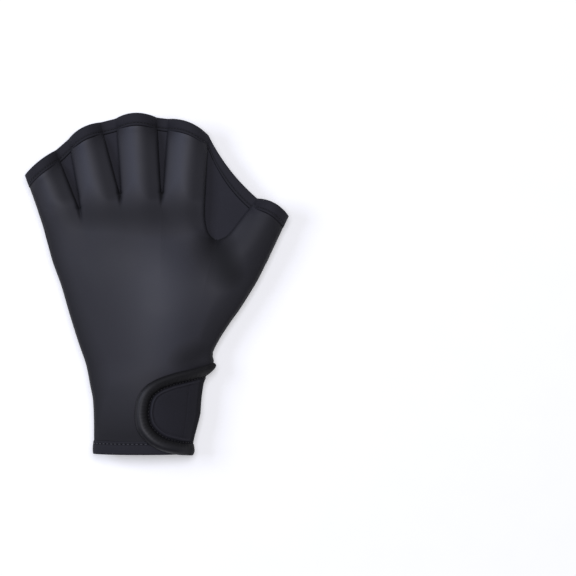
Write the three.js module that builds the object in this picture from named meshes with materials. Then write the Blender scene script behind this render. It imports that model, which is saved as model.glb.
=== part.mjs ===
import * as THREE from "three";

// Webbed swim glove for the left hand, lying palm down. Lengths are in millimetres.
// X runs towards the thumb, Y towards the fingertips and Z up, away from the palm.
// The finger edge is open on every finger, and four webs join neighbouring fingers.

// Overall sizes
const gloveLength = 226;
const gloveWidth = 175;
const backHeight = 21;
const palmDepth = 13;
const wallThickness = 2.5;
const wallInset = 2.2;
const webThickness = 2;
const clearance = 0.3;

// Bands along the edges
const hemWidth = 6;
const hemThickness = 1.1;
const cuffHemWidth = 8;
const cuffHemThickness = 1;

// Closing strap and the pad under it
const strapThickness = 1.8;
const strapUnderlap = 24;
const bindingWidth = 6.2;
const bindingThickness = 1.3;
const bindingLip = 1.2;
const bindingSeat = 0.5;
const strapSeat = 0.5;
const padThickness = 1;

// Fullness of the arches: the exponent of a half sine wave, lower is fuller
const handFullness = 0.58;
const blockFullness = 0.6;
const fingerFullness = 0.78;
const thumbFullness = 0.7;

// Grid of the walls
const columnsPerFinger = 7;
const thumbWebColumns = 6;
const fingerWebColumns = 2;
const underlapColumns = 4;
const bendColumns = 8;
const tabColumns = 8;
const strapColumns = underlapColumns + bendColumns + tabColumns;
const strapRowCount = 14;
const padRowCount = 6;
const padColumnCount = 8;

// The bend round the wrist's side reaches this far to both sides of the side seam
const strapBend = 9;

// A table's rows with its columns' names
const named = (columns) => (row) => Object.fromEntries(columns.map((column, i) => [column, row[i]]));

// Sections across the hand from the cuff to the finger crotches. The little finger's side and
// the thumb's side are places in plan, as shares of the glove's width and length. Back and palm
// are crest heights as shares of the back height and the palm depth. Lift is how far the
// underside stays off the ground, as a share of the palm depth. The two splits say how far
// thumb and fingers have parted from the hand's own arch.
const handColumns = ["little", "thumb", "back", "palm", "lift", "thumbSplit", "fingerSplit"];
const handSections = [
  [[-0.194, 0.0], [0.169, 0.0], 0.74, 0.9, 0.5, 0, 0],
  [[-0.194, 0.035], [0.173, 0.035], 0.75, 0.9, 0.5, 0, 0],
  [[-0.194, 0.071], [0.179, 0.071], 0.76, 0.9, 0.5, 0, 0],
  [[-0.195, 0.111], [0.186, 0.111], 0.77, 0.9, 0.5, 0, 0],
  [[-0.198, 0.155], [0.19, 0.155], 0.79, 0.92, 0.5, 0, 0],
  [[-0.209, 0.199], [0.197, 0.199], 0.82, 0.95, 0.5, 0, 0],
  [[-0.222, 0.252], [0.231, 0.252], 0.86, 1.0, 0.46, 0, 0],
  [[-0.253, 0.323], [0.267, 0.314], 0.92, 1.08, 0.1, 0.02, 0],
  [[-0.287, 0.407], [0.313, 0.372], 0.98, 1.12, 0, 0.08, 0],
  [[-0.317, 0.487], [0.357, 0.42], 1.0, 1.12, 0, 0.22, 0],
  [[-0.35, 0.558], [0.397, 0.469], 0.92, 1.1, 0, 0.46, 0.04],
  [[-0.364, 0.597], [0.421, 0.5], 0.8, 1.06, 0, 0.76, 0.14],
  [[-0.375, 0.628], [0.439, 0.527], 0.62, 1.02, 0, 1, 0.32],
  [[-0.385, 0.657], [0.451, 0.546], 0.5, 1.0, 0, 1, 0.55],
  [[-0.394, 0.679], [0.462, 0.562], 0.54, 0.97, 0.02, 1, 0.78],
  [[-0.402, 0.697], [0.47, 0.576], 0.6, 0.94, 0.05, 1, 0.93],
  [[-0.408, 0.712], [0.478, 0.589], 0.62, 0.92, 0.08, 1, 1],
].map(named(handColumns));
const palmRow = 6;
const thumbCrotchRow = 12;
const fingerCrotchRow = 16;

// The finger rows above the crotches, as shares of the way to the finger edge
const fingerRows = [0.12, 0.34, 0.58, 0.8, 1];
const fingerLiftShare = 0.13;
const edgeRow = fingerCrotchRow + fingerRows.length;

// Where neighbouring tubes meet at the cuff, as shares of the cuff's width
const cuffShares = [0.2, 0.42, 0.62, 0.82];

// The tubes of the fingers. A side edge is given just past its crotch and at the finger edge;
// the outer sides and the thumb web's sides come from other tables and are null here. Crest
// heights are shares of the back height and palm depth, at the crotch and at the edge; bulge is
// how far the finger edge bows out, as a share of the glove's length.
const tubeColumns = ["name", "left", "leftTip", "right", "rightTip", "back", "palm", "bulge"];
const tubes = [
  ["little", null, [-0.451, 0.806], [-0.261, 0.735], [-0.335, 0.878], [0.62, 0.48], [0.9, 0.84], 0.003],
  ["ring", [-0.247, 0.737], [-0.288, 0.91], [-0.106, 0.781], [-0.168, 0.959], [0.68, 0.5], [0.92, 0.84], 0.008],
  ["middle", [-0.091, 0.782], [-0.111, 0.97], [0.057, 0.783], [0.044, 0.973], [0.7, 0.52], [0.92, 0.84], 0.013],
  ["index", [0.07, 0.783], [0.085, 0.969], null, [0.238, 0.921], [0.68, 0.5], [0.92, 0.84], 0.013],
  ["thumb", null, [0.418, 0.738], null, [0.537, 0.687], [0.68, 0.54], [0.94, 0.86], 0.012],
].map(named(tubeColumns));
const thumbTube = tubes.length - 1;
const webCount = tubes.length - 1;
const thumbWeb = webCount - 1;
const crotches = [[-0.248, 0.714], [-0.095, 0.758], [0.063, 0.76], [0.27, 0.622]];

// The thumb web's two sides between the thumb crotch row and the finger crotch row
const indexSide = [[0.27, 0.622], [0.247, 0.642], [0.232, 0.666], [0.225, 0.692], [0.224, 0.721]];
const thumbWebSide = [[0.27, 0.622], [0.289, 0.625], [0.309, 0.634], [0.326, 0.647], [0.342, 0.663]];
const thumbWebBulgeShare = -0.012;

// A web starts this share of a row past its crotch
const webStartShare = 0.35;

// The strap's outline, from its lower to its upper edge: tip is the rounded end on the back
// and side is where the row passes over the thumb side of the cuff
const strapRows = [
  [[0.12, 0.002], -0.002],
  [[0.055, 0.018], 0.027],
  [[0.008, 0.045], 0.059],
  [[-0.018, 0.078], 0.092],
  [[-0.025, 0.113], 0.125],
  [[-0.018, 0.146], 0.157],
  [[0.008, 0.178], 0.188],
  [[0.055, 0.205], 0.218],
  [[0.115, 0.224], 0.241],
].map(named(["tip", "side"]));

// The pad's sides and ends on the back of the cuff, as shares of the glove's width and length
const padShares = { left: 0.035, right: 0.15, low: 0.055, high: 0.175 };

// The most that a slanting row or a steep surface stretches a gap or a thickness
const slantLimitRatio = 2.5;
const slopeLimitRatio = 2.2;
const slantMarginRatio = 1.1;

// How sharply one arch gives way to another: higher keeps the valley between them shallow
const blendExponent = 4;

const blackJersey = new THREE.MeshStandardMaterial({ color: 0x1d1d22, roughness: 0.8, metalness: 0 });
const blackWeb = new THREE.MeshStandardMaterial({ color: 0x16161a, roughness: 0.82, metalness: 0 });
const blackHem = new THREE.MeshStandardMaterial({ color: 0x17171b, roughness: 0.78, metalness: 0 });
const blackStrap = new THREE.MeshStandardMaterial({ color: 0x111115, roughness: 0.7, metalness: 0 });
const blackHook = new THREE.MeshStandardMaterial({ color: 0x0c0c0e, roughness: 0.9, metalness: 0 });

const mix = (a, b, share) => a + (b - a) * share;
const mixPoints = (a, b, share) => a.map((value, axis) => mix(value, b[axis], share));
const inPlan = ([x, y]) => [x * gloveWidth, y * gloveLength];
const arch = (share, fullness) => Math.pow(Math.max(0, Math.sin(Math.PI * share)), fullness);
const blendHeights = (a, b, share) =>
  Math.pow(mix(Math.pow(a, blendExponent), Math.pow(b, blendExponent), share), 1 / blendExponent);

function unit(from, to) {
  const length = Math.hypot(to[0] - from[0], to[1] - from[1]) || 1;
  return [(to[0] - from[0]) / length, (to[1] - from[1]) / length];
}

// The two side edges of one tube at one row, in plan
function tubeSides(row, tube) {
  return [sideLine(row, tube, "left"), sideLine(row, tube, "right")];
}

// One side edge of a tube at one row. Below its crotch a tube shares the edge with its neighbour.
function sideLine(row, tube, side) {
  const line = side === "left" ? tube : tube + 1;
  const shape = tubes[tube];
  const tip = inPlan(side === "left" ? shape.leftTip : shape.rightTip);
  if (line === 0 || line === tubes.length) {
    const key = line === 0 ? "little" : "thumb";
    if (row <= fingerCrotchRow) return inPlan(handSections[row][key]);
    const last = inPlan(handSections[fingerCrotchRow][key]);
    return mixPoints(last, tip, fingerRows[row - fingerCrotchRow - 1]);
  }
  if (line === thumbTube && row >= thumbCrotchRow) {
    const table = side === "right" ? indexSide : thumbWebSide;
    if (row <= fingerCrotchRow) return inPlan(table[row - thumbCrotchRow]);
    return mixPoints(inPlan(table[table.length - 1]), tip, fingerRows[row - fingerCrotchRow - 1]);
  }
  if (row > fingerCrotchRow) {
    const near = inPlan(shape[side]);
    const share = (fingerRows[row - fingerCrotchRow - 1] - fingerRows[0]) / (1 - fingerRows[0]);
    return mixPoints(near, tip, share);
  }
  return sharedLine(row, line);
}

// The line between two tubes from the cuff up to their crotch
function sharedLine(row, line) {
  const crotch = inPlan(crotches[line - 1]);
  const crotchRow = crotchRowOf(line);
  const base = acrossHand(Math.min(row, palmRow), cuffShares[line - 1]);
  if (row <= palmRow) return base;
  const palmEnd = handSections[palmRow].little[1];
  const rowPlace = mix(handSections[row].little[1], handSections[row].thumb[1], line / tubes.length);
  const crotchPlace = mix(
    handSections[crotchRow].little[1],
    handSections[crotchRow].thumb[1],
    line / tubes.length,
  );
  return mixPoints(base, crotch, (rowPlace - palmEnd) / (crotchPlace - palmEnd));
}

function acrossHand(row, share) {
  const section = handSections[row];
  return mixPoints(inPlan(section.little), inPlan(section.thumb), share);
}

const crotchRowOf = (line) => (line === thumbTube ? thumbCrotchRow : fingerCrotchRow);
const isShared = (line) => line > 0 && line < tubes.length;
const isSplit = (row, line) => isShared(line) && row >= crotchRowOf(line);
const isCrotch = (row, line) => isShared(line) && row === crotchRowOf(line);

function rowBulge(row, tube) {
  if (row <= fingerCrotchRow) return 0;
  const share = fingerRows[row - fingerCrotchRow - 1];
  return tubes[tube].bulge * gloveLength * share * share;
}

// A point of a tube in plan, for a share of the way across it
function planPoint(row, tube, share) {
  const [left, right] = tubeSides(row, tube);
  const point = mixPoints(left, right, share);
  const across = unit(left, right);
  const bow = rowBulge(row, tube) * 4 * share * (1 - share);
  return [point[0] - across[1] * bow, point[1] + across[0] * bow];
}

function widthsAt(row, count) {
  const widths = [];
  for (let tube = 0; tube < count; tube++) {
    const [left, right] = tubeSides(row, tube);
    widths.push(Math.hypot(right[0] - left[0], right[1] - left[1]));
  }
  return widths;
}

// The share of the way across the first tubes of the row, as one span
function spanShare(row, tube, share, count) {
  const widths = widthsAt(row, count);
  const total = widths.reduce((sum, width) => sum + width, 0);
  const before = widths.slice(0, tube).reduce((sum, width) => sum + width, 0);
  return (before + share * widths[tube]) / total;
}

// Height of the outer surface off the middle plane, on the back or on the palm side
function surfaceHeight(row, tube, share, side) {
  const unitHeight = side === "back" ? backHeight : palmDepth;
  const section = handSections[Math.min(row, fingerCrotchRow)];
  const beyond = row <= fingerCrotchRow ? 0 : fingerRows[row - fingerCrotchRow - 1];
  const isThumb = tube === thumbTube;
  const crest = mix(tubes[tube][side][0], tubes[tube][side][1], beyond);
  const own = crest * arch(share, isThumb ? thumbFullness : fingerFullness);
  const whole = section[side] * arch(spanShare(row, tube, share, tubes.length), handFullness);
  let parted = own;
  if (!isThumb) {
    const block = section[side] * arch(spanShare(row, tube, share, thumbTube), blockFullness);
    parted = blendHeights(block, own, section.fingerSplit);
  }
  const height = blendHeights(whole, parted, section.thumbSplit) * unitHeight;
  if (side === "back") return height;
  const lift = mix(section.lift, fingerLiftShare, beyond) * palmDepth;
  return Math.min(height, palmDepth - lift);
}

// Shares across a tube, closer together near its sides
function columnShares() {
  const shares = [];
  for (let i = 0; i <= columnsPerFinger; i++) {
    shares.push((1 - Math.cos((Math.PI * i) / columnsPerFinger)) / 2);
  }
  return shares;
}

const sideSign = (side) => (side === "back" ? 1 : -1);
const toHeight = (height, side) => palmDepth + sideSign(side) * (clearance / 2 + height);

function outerPoint(row, tube, share, side) {
  const [x, y] = planPoint(row, tube, share);
  return [x, y, toHeight(surfaceHeight(row, tube, share, side), side)];
}

// The inner surface lies one wall inside the outer one, and stays inside the tube's side edges
function innerPoint(row, tube, share, side) {
  const [left, right] = tubeSides(row, tube);
  const width = Math.hypot(right[0] - left[0], right[1] - left[1]);
  const leftOpen = isSplit(row, tube) || tube === 0;
  const rightOpen = isSplit(row, tube + 1) || tube === thumbTube;
  const leftInset = leftOpen && !isCrotch(row, tube) ? wallInset / width : 0;
  const rightInset = rightOpen && !isCrotch(row, tube + 1) ? wallInset / width : 0;
  const inside = mix(leftInset, 1 - rightInset, share);
  const point = planPoint(row, tube, inside);
  let height = Math.max(0, surfaceHeight(row, tube, inside, side) - wallThickness);
  const atLeft = share === 0 && leftOpen;
  const atRight = share === 1 && rightOpen;
  if (atLeft || atRight) height = 0;
  const crotchLine = share === 0 ? tube : tube + 1;
  if ((atLeft || atRight) && isCrotch(row, crotchLine)) {
    const before = sharedLine(row - 1, crotchLine);
    const back = unit(point, before);
    point[0] += back[0] * wallInset;
    point[1] += back[1] * wallInset;
  }
  return [point[0], point[1], toHeight(height, side)];
}

// A closed wall between two surfaces that share their grid cells. Each cell is a list of four
// corners, each with an outer and an inner point; cells with equal outer points are joined.
function wallBetween(cells, flip) {
  const ids = new Map();
  const outer = [];
  const inner = [];
  const idOf = (corner) => {
    const key = corner.outer.map((value) => value.toFixed(3)).join();
    if (!ids.has(key)) {
      ids.set(key, outer.length);
      outer.push(corner.outer);
      inner.push(corner.inner);
    }
    return ids.get(key);
  };
  const faces = [];
  for (const cell of cells) {
    const [a, b, c, d] = cell.map(idOf);
    for (const face of [[a, b, c], [a, c, d]]) {
      if (new Set(face).size === 3) faces.push(flip ? [face[0], face[2], face[1]] : face);
    }
  }
  const count = outer.length;
  const triangles = faces.flatMap(([a, b, c]) => [a, b, c, a + count, c + count, b + count]);
  const edges = new Map();
  for (const face of faces) {
    face.forEach((from, i) => edges.set(from + "," + face[(i + 1) % 3], [from, face[(i + 1) % 3]]));
  }
  for (const [from, to] of edges.values()) {
    if (edges.has(to + "," + from)) continue;
    triangles.push(to, from, from + count, to, from + count, to + count);
  }
  return geometryOf([...outer, ...inner], triangles);
}

function geometryOf(points, triangles) {
  const geometry = new THREE.BufferGeometry();
  geometry.setAttribute("position", new THREE.Float32BufferAttribute(points.flat(), 3));
  geometry.setIndex(triangles);
  geometry.computeVertexNormals();
  return geometry;
}

// One half of the glove, from cuff to finger edge
function panelGeometry(side) {
  const shares = columnShares();
  const cells = [];
  const corner = (row, tube, share) => ({
    outer: outerPoint(row, tube, share, side),
    inner: innerPoint(row, tube, share, side),
  });
  for (let row = 0; row < edgeRow; row++) {
    for (let tube = 0; tube < tubes.length; tube++) {
      for (let i = 0; i < columnsPerFinger; i++) {
        cells.push([
          corner(row, tube, shares[i]),
          corner(row, tube, shares[i + 1]),
          corner(row + 1, tube, shares[i + 1]),
          corner(row + 1, tube, shares[i]),
        ]);
      }
    }
  }
  return wallBetween(cells, side === "palm");
}

// The web between tube and its neighbour, a sheet in the middle plane
function webGeometry(tube) {
  const crotchRow = crotchRowOf(tube + 1);
  const across = webColumns(tube);
  const rows = [];
  for (let row = crotchRow; row <= edgeRow; row++) {
    let left = sideLine(row, tube, "right");
    let right = sideLine(row, tube + 1, "left");
    if (row === crotchRow) {
      left = mixPoints(left, sideLine(row + 1, tube, "right"), webStartShare);
      right = mixPoints(right, sideLine(row + 1, tube + 1, "left"), webStartShare);
    }
    const inward = unit(left, right);
    const leftGap = clearance * slant(inward, row, tube, "right");
    const rightGap = clearance * slant(inward, row, tube + 1, "left");
    const from = [left[0] + inward[0] * leftGap, left[1] + inward[1] * leftGap];
    const to = [right[0] - inward[0] * rightGap, right[1] - inward[1] * rightGap];
    const rise = (row - crotchRow) / (edgeRow - crotchRow);
    rows.push(webRow(from, to, across, webBulge(tube) * rise * rise));
  }
  const cells = [];
  for (let row = 0; row + 1 < rows.length; row++) {
    for (let i = 0; i < across; i++) {
      const plan = [rows[row][i], rows[row][i + 1], rows[row + 1][i + 1], rows[row + 1][i]];
      cells.push(
        plan.map(([x, y]) => ({
          outer: [x, y, palmDepth + webThickness / 2],
          inner: [x, y, palmDepth - webThickness / 2],
        })),
      );
    }
  }
  return wallBetween(cells, false);
}

// How much further a gap reaches along a row than square to the tube's side edge
function slant(inward, row, tube, side) {
  const low = sideLine(Math.min(row, edgeRow - 1), tube, side);
  const high = sideLine(Math.min(row, edgeRow - 1) + 1, tube, side);
  const along = unit(low, high);
  return Math.min(slantLimitRatio, slantMarginRatio / Math.abs(inward[0] * along[1] - inward[1] * along[0]));
}

const webColumns = (tube) => (tube === thumbWeb ? thumbWebColumns : fingerWebColumns);
const webBulge = (tube) => (tube === thumbWeb ? thumbWebBulgeShare * gloveLength : 0);

function webRow(from, to, across, bulge) {
  const direction = unit(from, to);
  const points = [];
  for (let i = 0; i <= across; i++) {
    const share = i / across;
    const point = mixPoints(from, to, share);
    const bow = bulge * 4 * share * (1 - share);
    points.push([point[0] - direction[1] * bow, point[1] + direction[0] * bow]);
  }
  return points;
}

// A band with an L section: a flange that lies on a surface and a lip over its edge.
// Each section lists six points: flange end lower and upper, outer corner upper and lower,
// lip inside lower, and the inner corner.
function bandGeometry(sections, closed, flip) {
  const points = sections.flat();
  const size = sections[0].length;
  const triangles = [];
  const count = closed ? sections.length : sections.length - 1;
  for (let i = 0; i < count; i++) {
    const from = i * size;
    const to = ((i + 1) % sections.length) * size;
    for (let k = 0; k < size; k++) {
      const next = (k + 1) % size;
      triangles.push(from + k, to + k, to + next, from + k, to + next, from + next);
    }
  }
  if (!closed) {
    const end = (sections.length - 1) * size;
    const inside = size - 1;
    for (let k = 0; k + 1 < inside; k++) {
      triangles.push(inside, k, k + 1);
      triangles.push(end + inside, end + k + 1, end + k);
    }
  }
  if (flip) {
    for (let i = 0; i < triangles.length; i += 3) {
      [triangles[i + 1], triangles[i + 2]] = [triangles[i + 2], triangles[i + 1]];
    }
  }
  return geometryOf(points, triangles);
}

// How much longer a vertical distance is than the same distance square to the surface
function slopeFactor(row, tube, share, side) {
  const step = 0.01;
  const low = Math.max(0, share - step);
  const high = Math.min(1, share + step);
  const [left, right] = tubeSides(row, tube);
  const width = Math.hypot(right[0] - left[0], right[1] - left[1]);
  const rise = surfaceHeight(row, tube, high, side) - surfaceHeight(row, tube, low, side);
  return Math.min(slopeLimitRatio, Math.hypot(1, rise / ((high - low) * width)));
}

// The finger edge's stations, in order from the little finger's outer side to the thumb's
function edgeStations(side) {
  const shares = columnShares();
  const stations = [];
  for (let tube = 0; tube < tubes.length; tube++) {
    for (const share of shares) stations.push(tubeStation(tube, share, side));
    if (tube + 1 < tubes.length) stations.push(...webStations(tube));
  }
  const reach = hemThickness + clearance;
  stations.unshift(sideStation(stations[0], stations[1], reach));
  stations.push(sideStation(stations[stations.length - 1], stations[stations.length - 2], reach));
  return stations;
}

function tubeStation(tube, share, side) {
  const edge = planPoint(edgeRow, tube, share);
  const back = unit(edge, planPoint(edgeRow - 1, tube, share));
  const floor = webThickness / 2 + clearance / 2;
  const rest = (row) => surfaceHeight(row, tube, share, side);
  const before = planPoint(edgeRow - 1, tube, share);
  const rowGap = Math.hypot(before[0] - edge[0], before[1] - edge[1]);
  const atEdge = rest(edgeRow);
  const atFlange = mix(atEdge, rest(edgeRow - 1), hemWidth / rowGap);
  const slope = slopeFactor(edgeRow, tube, share, side);
  const outerSide = (tube === 0 && share === 0) || (tube === thumbTube && share === 1);
  const least = outerSide ? clearance : floor;
  return {
    edge,
    back,
    slope,
    edgeBase: Math.max(least, atEdge + clearance * slope),
    flangeBase: Math.max(least, atFlange + clearance * slope),
    lipBase: Math.max(0, atEdge - wallThickness),
  };
}

function webStations(tube) {
  const across = webColumns(tube);
  const left = sideLine(edgeRow, tube, "right");
  const right = sideLine(edgeRow, tube + 1, "left");
  const leftBack = unit(left, sideLine(edgeRow - 1, tube, "right"));
  const rightBack = unit(right, sideLine(edgeRow - 1, tube + 1, "left"));
  const floor = webThickness / 2 + clearance / 2;
  const points = webRow(left, right, across, webBulge(tube));
  return points.slice(1, -1).map((edge, i) => {
    const turned = mixPoints(leftBack, rightBack, (i + 1) / across);
    return {
      edge,
      back: unit([0, 0], turned),
      slope: 1,
      edgeBase: floor,
      flangeBase: floor,
      lipBase: 0,
    };
  });
}

// The band's own end, just outside the glove's side
function sideStation(first, second, reach) {
  const out = unit(second.edge, first.edge);
  const edge = [first.edge[0] + out[0] * reach, first.edge[1] + out[1] * reach];
  return { ...first, edge, slope: 1, edgeBase: 0, flangeBase: 0, lipBase: 0 };
}

function hemGeometry(side) {
  const sections = edgeStations(side).map((station) => {
    const place = (distance, height) => [
      station.edge[0] + station.back[0] * distance,
      station.edge[1] + station.back[1] * distance,
      toHeight(height, side),
    ];
    const thick = hemThickness * station.slope;
    const lipInside = -clearance;
    const lipOutside = -clearance - hemThickness;
    return [
      place(hemWidth, station.flangeBase),
      place(hemWidth, station.flangeBase + thick),
      place(lipOutside, station.edgeBase + thick),
      place(lipOutside, station.lipBase),
      place(lipInside, station.lipBase),
      place(lipInside, station.edgeBase),
    ];
  });
  return bandGeometry(sections, false, side === "palm");
}

// The cuff's outline at one height up the wrist, as a closed loop of points with normals
function cuffLoop(length) {
  const rowPlaces = handSections.slice(0, palmRow + 1).map((section) => section.little[1] * gloveLength);
  let row = 0;
  while (row + 1 < palmRow && rowPlaces[row + 1] <= length) row++;
  const share = (length - rowPlaces[row]) / (rowPlaces[row + 1] - rowPlaces[row]);
  const points = [];
  const add = (tube, column, side) => {
    const low = outerPoint(row, tube, column, side);
    const high = outerPoint(row + 1, tube, column, side);
    points.push([mix(low[0], high[0], Math.max(0, share)), mix(low[2], high[2], Math.max(0, share))]);
  };
  const shares = columnShares();
  for (let tube = 0; tube < tubes.length; tube++) {
    shares.slice(tube === 0 ? 0 : 1).forEach((column) => add(tube, column, "back"));
  }
  for (let tube = thumbTube; tube >= 0; tube--) {
    const reversed = [...shares].reverse();
    reversed.slice(tube === thumbTube ? 0 : 1).forEach((column) => add(tube, column, "palm"));
  }
  return points.map((point, i) => {
    const before = points[(i + points.length - 1) % points.length];
    const after = points[(i + 1) % points.length];
    return { point, normal: squareTo(before, point, after) };
  });
}

function cuffHemGeometry() {
  const atEdge = cuffLoop(0);
  const atFlange = cuffLoop(cuffHemWidth);
  const sections = atEdge.map((station, i) => {
    const place = (loop, y, offset) => [
      loop[i].point[0] + loop[i].normal[0] * offset,
      y,
      loop[i].point[1] + loop[i].normal[1] * offset,
    ];
    const top = clearance + cuffHemThickness;
    const lipOutside = -clearance - cuffHemThickness;
    return [
      place(atFlange, cuffHemWidth, clearance),
      place(atFlange, cuffHemWidth, top),
      place(atEdge, lipOutside, top),
      place(atEdge, lipOutside, -wallThickness / 2),
      place(atEdge, -clearance, -wallThickness / 2),
      place(atEdge, -clearance, clearance),
    ];
  });
  return bandGeometry(sections, true, true);
}

// The line across the thumb side of the wrist, from the palm under the middle finger round to
// the back beside the little finger, as points with normals and distances from the side seam
function wristWrap(length) {
  const loop = cuffLoop(length);
  const seamIndex = loop.length / 2;
  const palmStations = 3 * columnsPerFinger;
  const order = [];
  for (let i = seamIndex + palmStations; i >= columnsPerFinger; i--) order.push(loop[i]);
  let distance = 0;
  const stations = order.map((station, i) => {
    const previous = i ? order[i - 1].point : station.point;
    distance += Math.hypot(station.point[0] - previous[0], station.point[1] - previous[1]);
    return { ...station, distance };
  });
  const seam = stations[palmStations].distance;
  return stations.map((station) => ({ ...station, distance: station.distance - seam }));
}

// A point at a distance round the wrist from the side seam and a height over the surface
function overWrist(distance, length, offset) {
  const wrap = wristWrap(length);
  let i = 0;
  while (i + 2 < wrap.length && wrap[i + 1].distance <= distance) i++;
  const share = (distance - wrap[i].distance) / (wrap[i + 1].distance - wrap[i].distance);
  const point = mixPoints(wrap[i].point, wrap[i + 1].point, share);
  const normal = mixPoints(wrap[i].normal, wrap[i + 1].normal, share);
  return [point[0] + normal[0] * offset, length, point[1] + normal[1] * offset];
}

// The distance from the side seam at which the back of the wrist reaches a place across it
function distanceAt(x, length) {
  const wrap = wristWrap(length).filter((station) => station.distance >= 0);
  let i = 0;
  while (i + 2 < wrap.length && wrap[i + 1].point[0] > x) i++;
  const share = (x - wrap[i].point[0]) / (wrap[i + 1].point[0] - wrap[i].point[0]);
  return mix(wrap[i].distance, wrap[i + 1].distance, share);
}

const underStrap = clearance + Math.max(cuffHemThickness, padThickness) + strapSeat;

// The strap's rows, drawn smoothly through the table and closer together near its two edges
function strapOutline() {
  const keys = strapRows.map(({ tip, side }) => new THREE.Vector3(tip[0], tip[1], side));
  const curve = new THREE.CatmullRomCurve3(keys);
  const outline = [];
  for (let i = 0; i <= strapRowCount; i++) {
    const point = curve.getPoint((1 - Math.cos((Math.PI * i) / strapRowCount)) / 2);
    outline.push({ tip: [point.x, point.y], side: point.z });
  }
  return outline;
}

// The strap's cross lines, close together where it bends round the wrist's side
function strapDistances(tipDistance) {
  const distances = [];
  for (let i = 0; i < underlapColumns; i++) {
    distances.push(mix(-strapUnderlap, -strapBend, i / underlapColumns));
  }
  for (let i = 0; i < bendColumns; i++) {
    distances.push(mix(-strapBend, strapBend, i / bendColumns));
  }
  for (let i = 0; i <= tabColumns; i++) {
    distances.push(mix(strapBend, tipDistance, i / tabColumns));
  }
  return distances;
}

// The strap's outline in the wrist's own surface: how far round and how far up
function strapGrid() {
  return strapOutline().map(({ tip, side }) => {
    const [tipX, tipY] = inPlan(tip);
    const sideY = side * gloveLength;
    const tipDistance = distanceAt(tipX, Math.max(0, tipY));
    return strapDistances(tipDistance).map((distance) => {
      const share = Math.max(0, distance) / tipDistance;
      return [distance, mix(sideY, tipY, share)];
    });
  });
}

function strapGeometry() {
  const grid = strapGrid();
  const corner = ([distance, length]) => ({
    outer: overWrist(distance, length, underStrap + strapThickness),
    inner: overWrist(distance, length, underStrap),
  });
  const cells = [];
  for (let row = 0; row + 1 < grid.length; row++) {
    for (let i = 0; i < strapColumns; i++) {
      const plan = [grid[row][i], grid[row + 1][i], grid[row + 1][i + 1], grid[row][i + 1]];
      cells.push(plan.map(corner));
    }
  }
  return wallBetween(cells, false);
}

// The direction square to a line at its middle point, longer where the line bends
function squareTo(before, point, after) {
  const incoming = before === point ? unit(point, after) : unit(before, point);
  const outgoing = after === point ? unit(before, point) : unit(point, after);
  const bend = Math.hypot(incoming[0] + outgoing[0], incoming[1] + outgoing[1]) / 2;
  const reach = 1 / (2 * bend * bend);
  return [-(incoming[1] + outgoing[1]) * reach, (incoming[0] + outgoing[0]) * reach];
}

// The binding follows the strap's lower edge, its rounded end and its upper edge
function bindingGeometry() {
  const grid = strapGrid();
  const last = grid.length - 1;
  const path = [
    ...grid[0],
    ...grid.slice(1, last).map((row) => row[strapColumns]),
    ...[...grid[last]].reverse(),
  ];
  const sections = path.map((point, i) => {
    const inward = squareTo(path[i - 1] || point, point, path[i + 1] || point);
    const place = (distance, offset) =>
      overWrist(point[0] + inward[0] * distance, point[1] + inward[1] * distance, offset);
    const top = underStrap + strapThickness + bindingSeat;
    return [
      place(bindingWidth, top),
      place(bindingWidth, top + bindingThickness),
      place(-clearance - bindingLip, top + bindingThickness),
      place(-clearance - bindingLip, underStrap),
      place(-clearance, underStrap),
      place(-clearance, top),
    ];
  });
  return bandGeometry(sections, false, false);
}

// The pad lies on the back of the cuff inside the strap's outline
function padGeometry() {
  const [leftX, lowY] = inPlan([padShares.left, padShares.low]);
  const [rightX, highY] = inPlan([padShares.right, padShares.high]);
  const corner = (row, column) => {
    const length = mix(lowY, highY, row / padRowCount);
    const share = column / padColumnCount;
    const distance = mix(distanceAt(rightX, length), distanceAt(leftX, length), share);
    return {
      outer: overWrist(distance, length, clearance + padThickness),
      inner: overWrist(distance, length, clearance),
    };
  };
  const cells = [];
  for (let row = 0; row < padRowCount; row++) {
    for (let column = 0; column < padColumnCount; column++) {
      cells.push([
        corner(row, column),
        corner(row + 1, column),
        corner(row + 1, column + 1),
        corner(row, column + 1),
      ]);
    }
  }
  return wallBetween(cells, false);
}

function addPiece(group, name, geometry, material) {
  const mesh = new THREE.Mesh(geometry, material);
  mesh.name = name;
  group.add(mesh);
}

function buildGlove() {
  const group = new THREE.Group();
  addPiece(group, "back_panel", panelGeometry("back"), blackJersey);
  addPiece(group, "palm_panel", panelGeometry("palm"), blackJersey);
  for (let web = 0; web < webCount; web++) {
    addPiece(group, "web_" + tubes[web + 1].name, webGeometry(web), blackWeb);
  }
  addPiece(group, "back_hem", hemGeometry("back"), blackHem);
  addPiece(group, "palm_hem", hemGeometry("palm"), blackHem);
  addPiece(group, "cuff_hem", cuffHemGeometry(), blackHem);
  addPiece(group, "strap_tab", strapGeometry(), blackStrap);
  addPiece(group, "strap_binding", bindingGeometry(), blackStrap);
  addPiece(group, "hook_pad", padGeometry(), blackHook);
  return group;
}

// The finished glove stands on its lowest point with its box centred on the origin
function centreOnGround(group) {
  const box = new THREE.Box3().setFromObject(group, true);
  const centre = box.getCenter(new THREE.Vector3());
  group.position.set(-centre.x, -centre.y, -box.min.z);
  return group;
}

const group = centreOnGround(buildGlove());

export default group;
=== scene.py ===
"""Looks of a webbed swim glove that lies palm down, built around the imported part.

Lengths are in millimetres until a mesh is made, and then in metres.
X runs towards the thumb, Y towards the fingertips and Z up.
"""

import logging
import math
from dataclasses import dataclass, field
from enum import Enum

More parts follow.
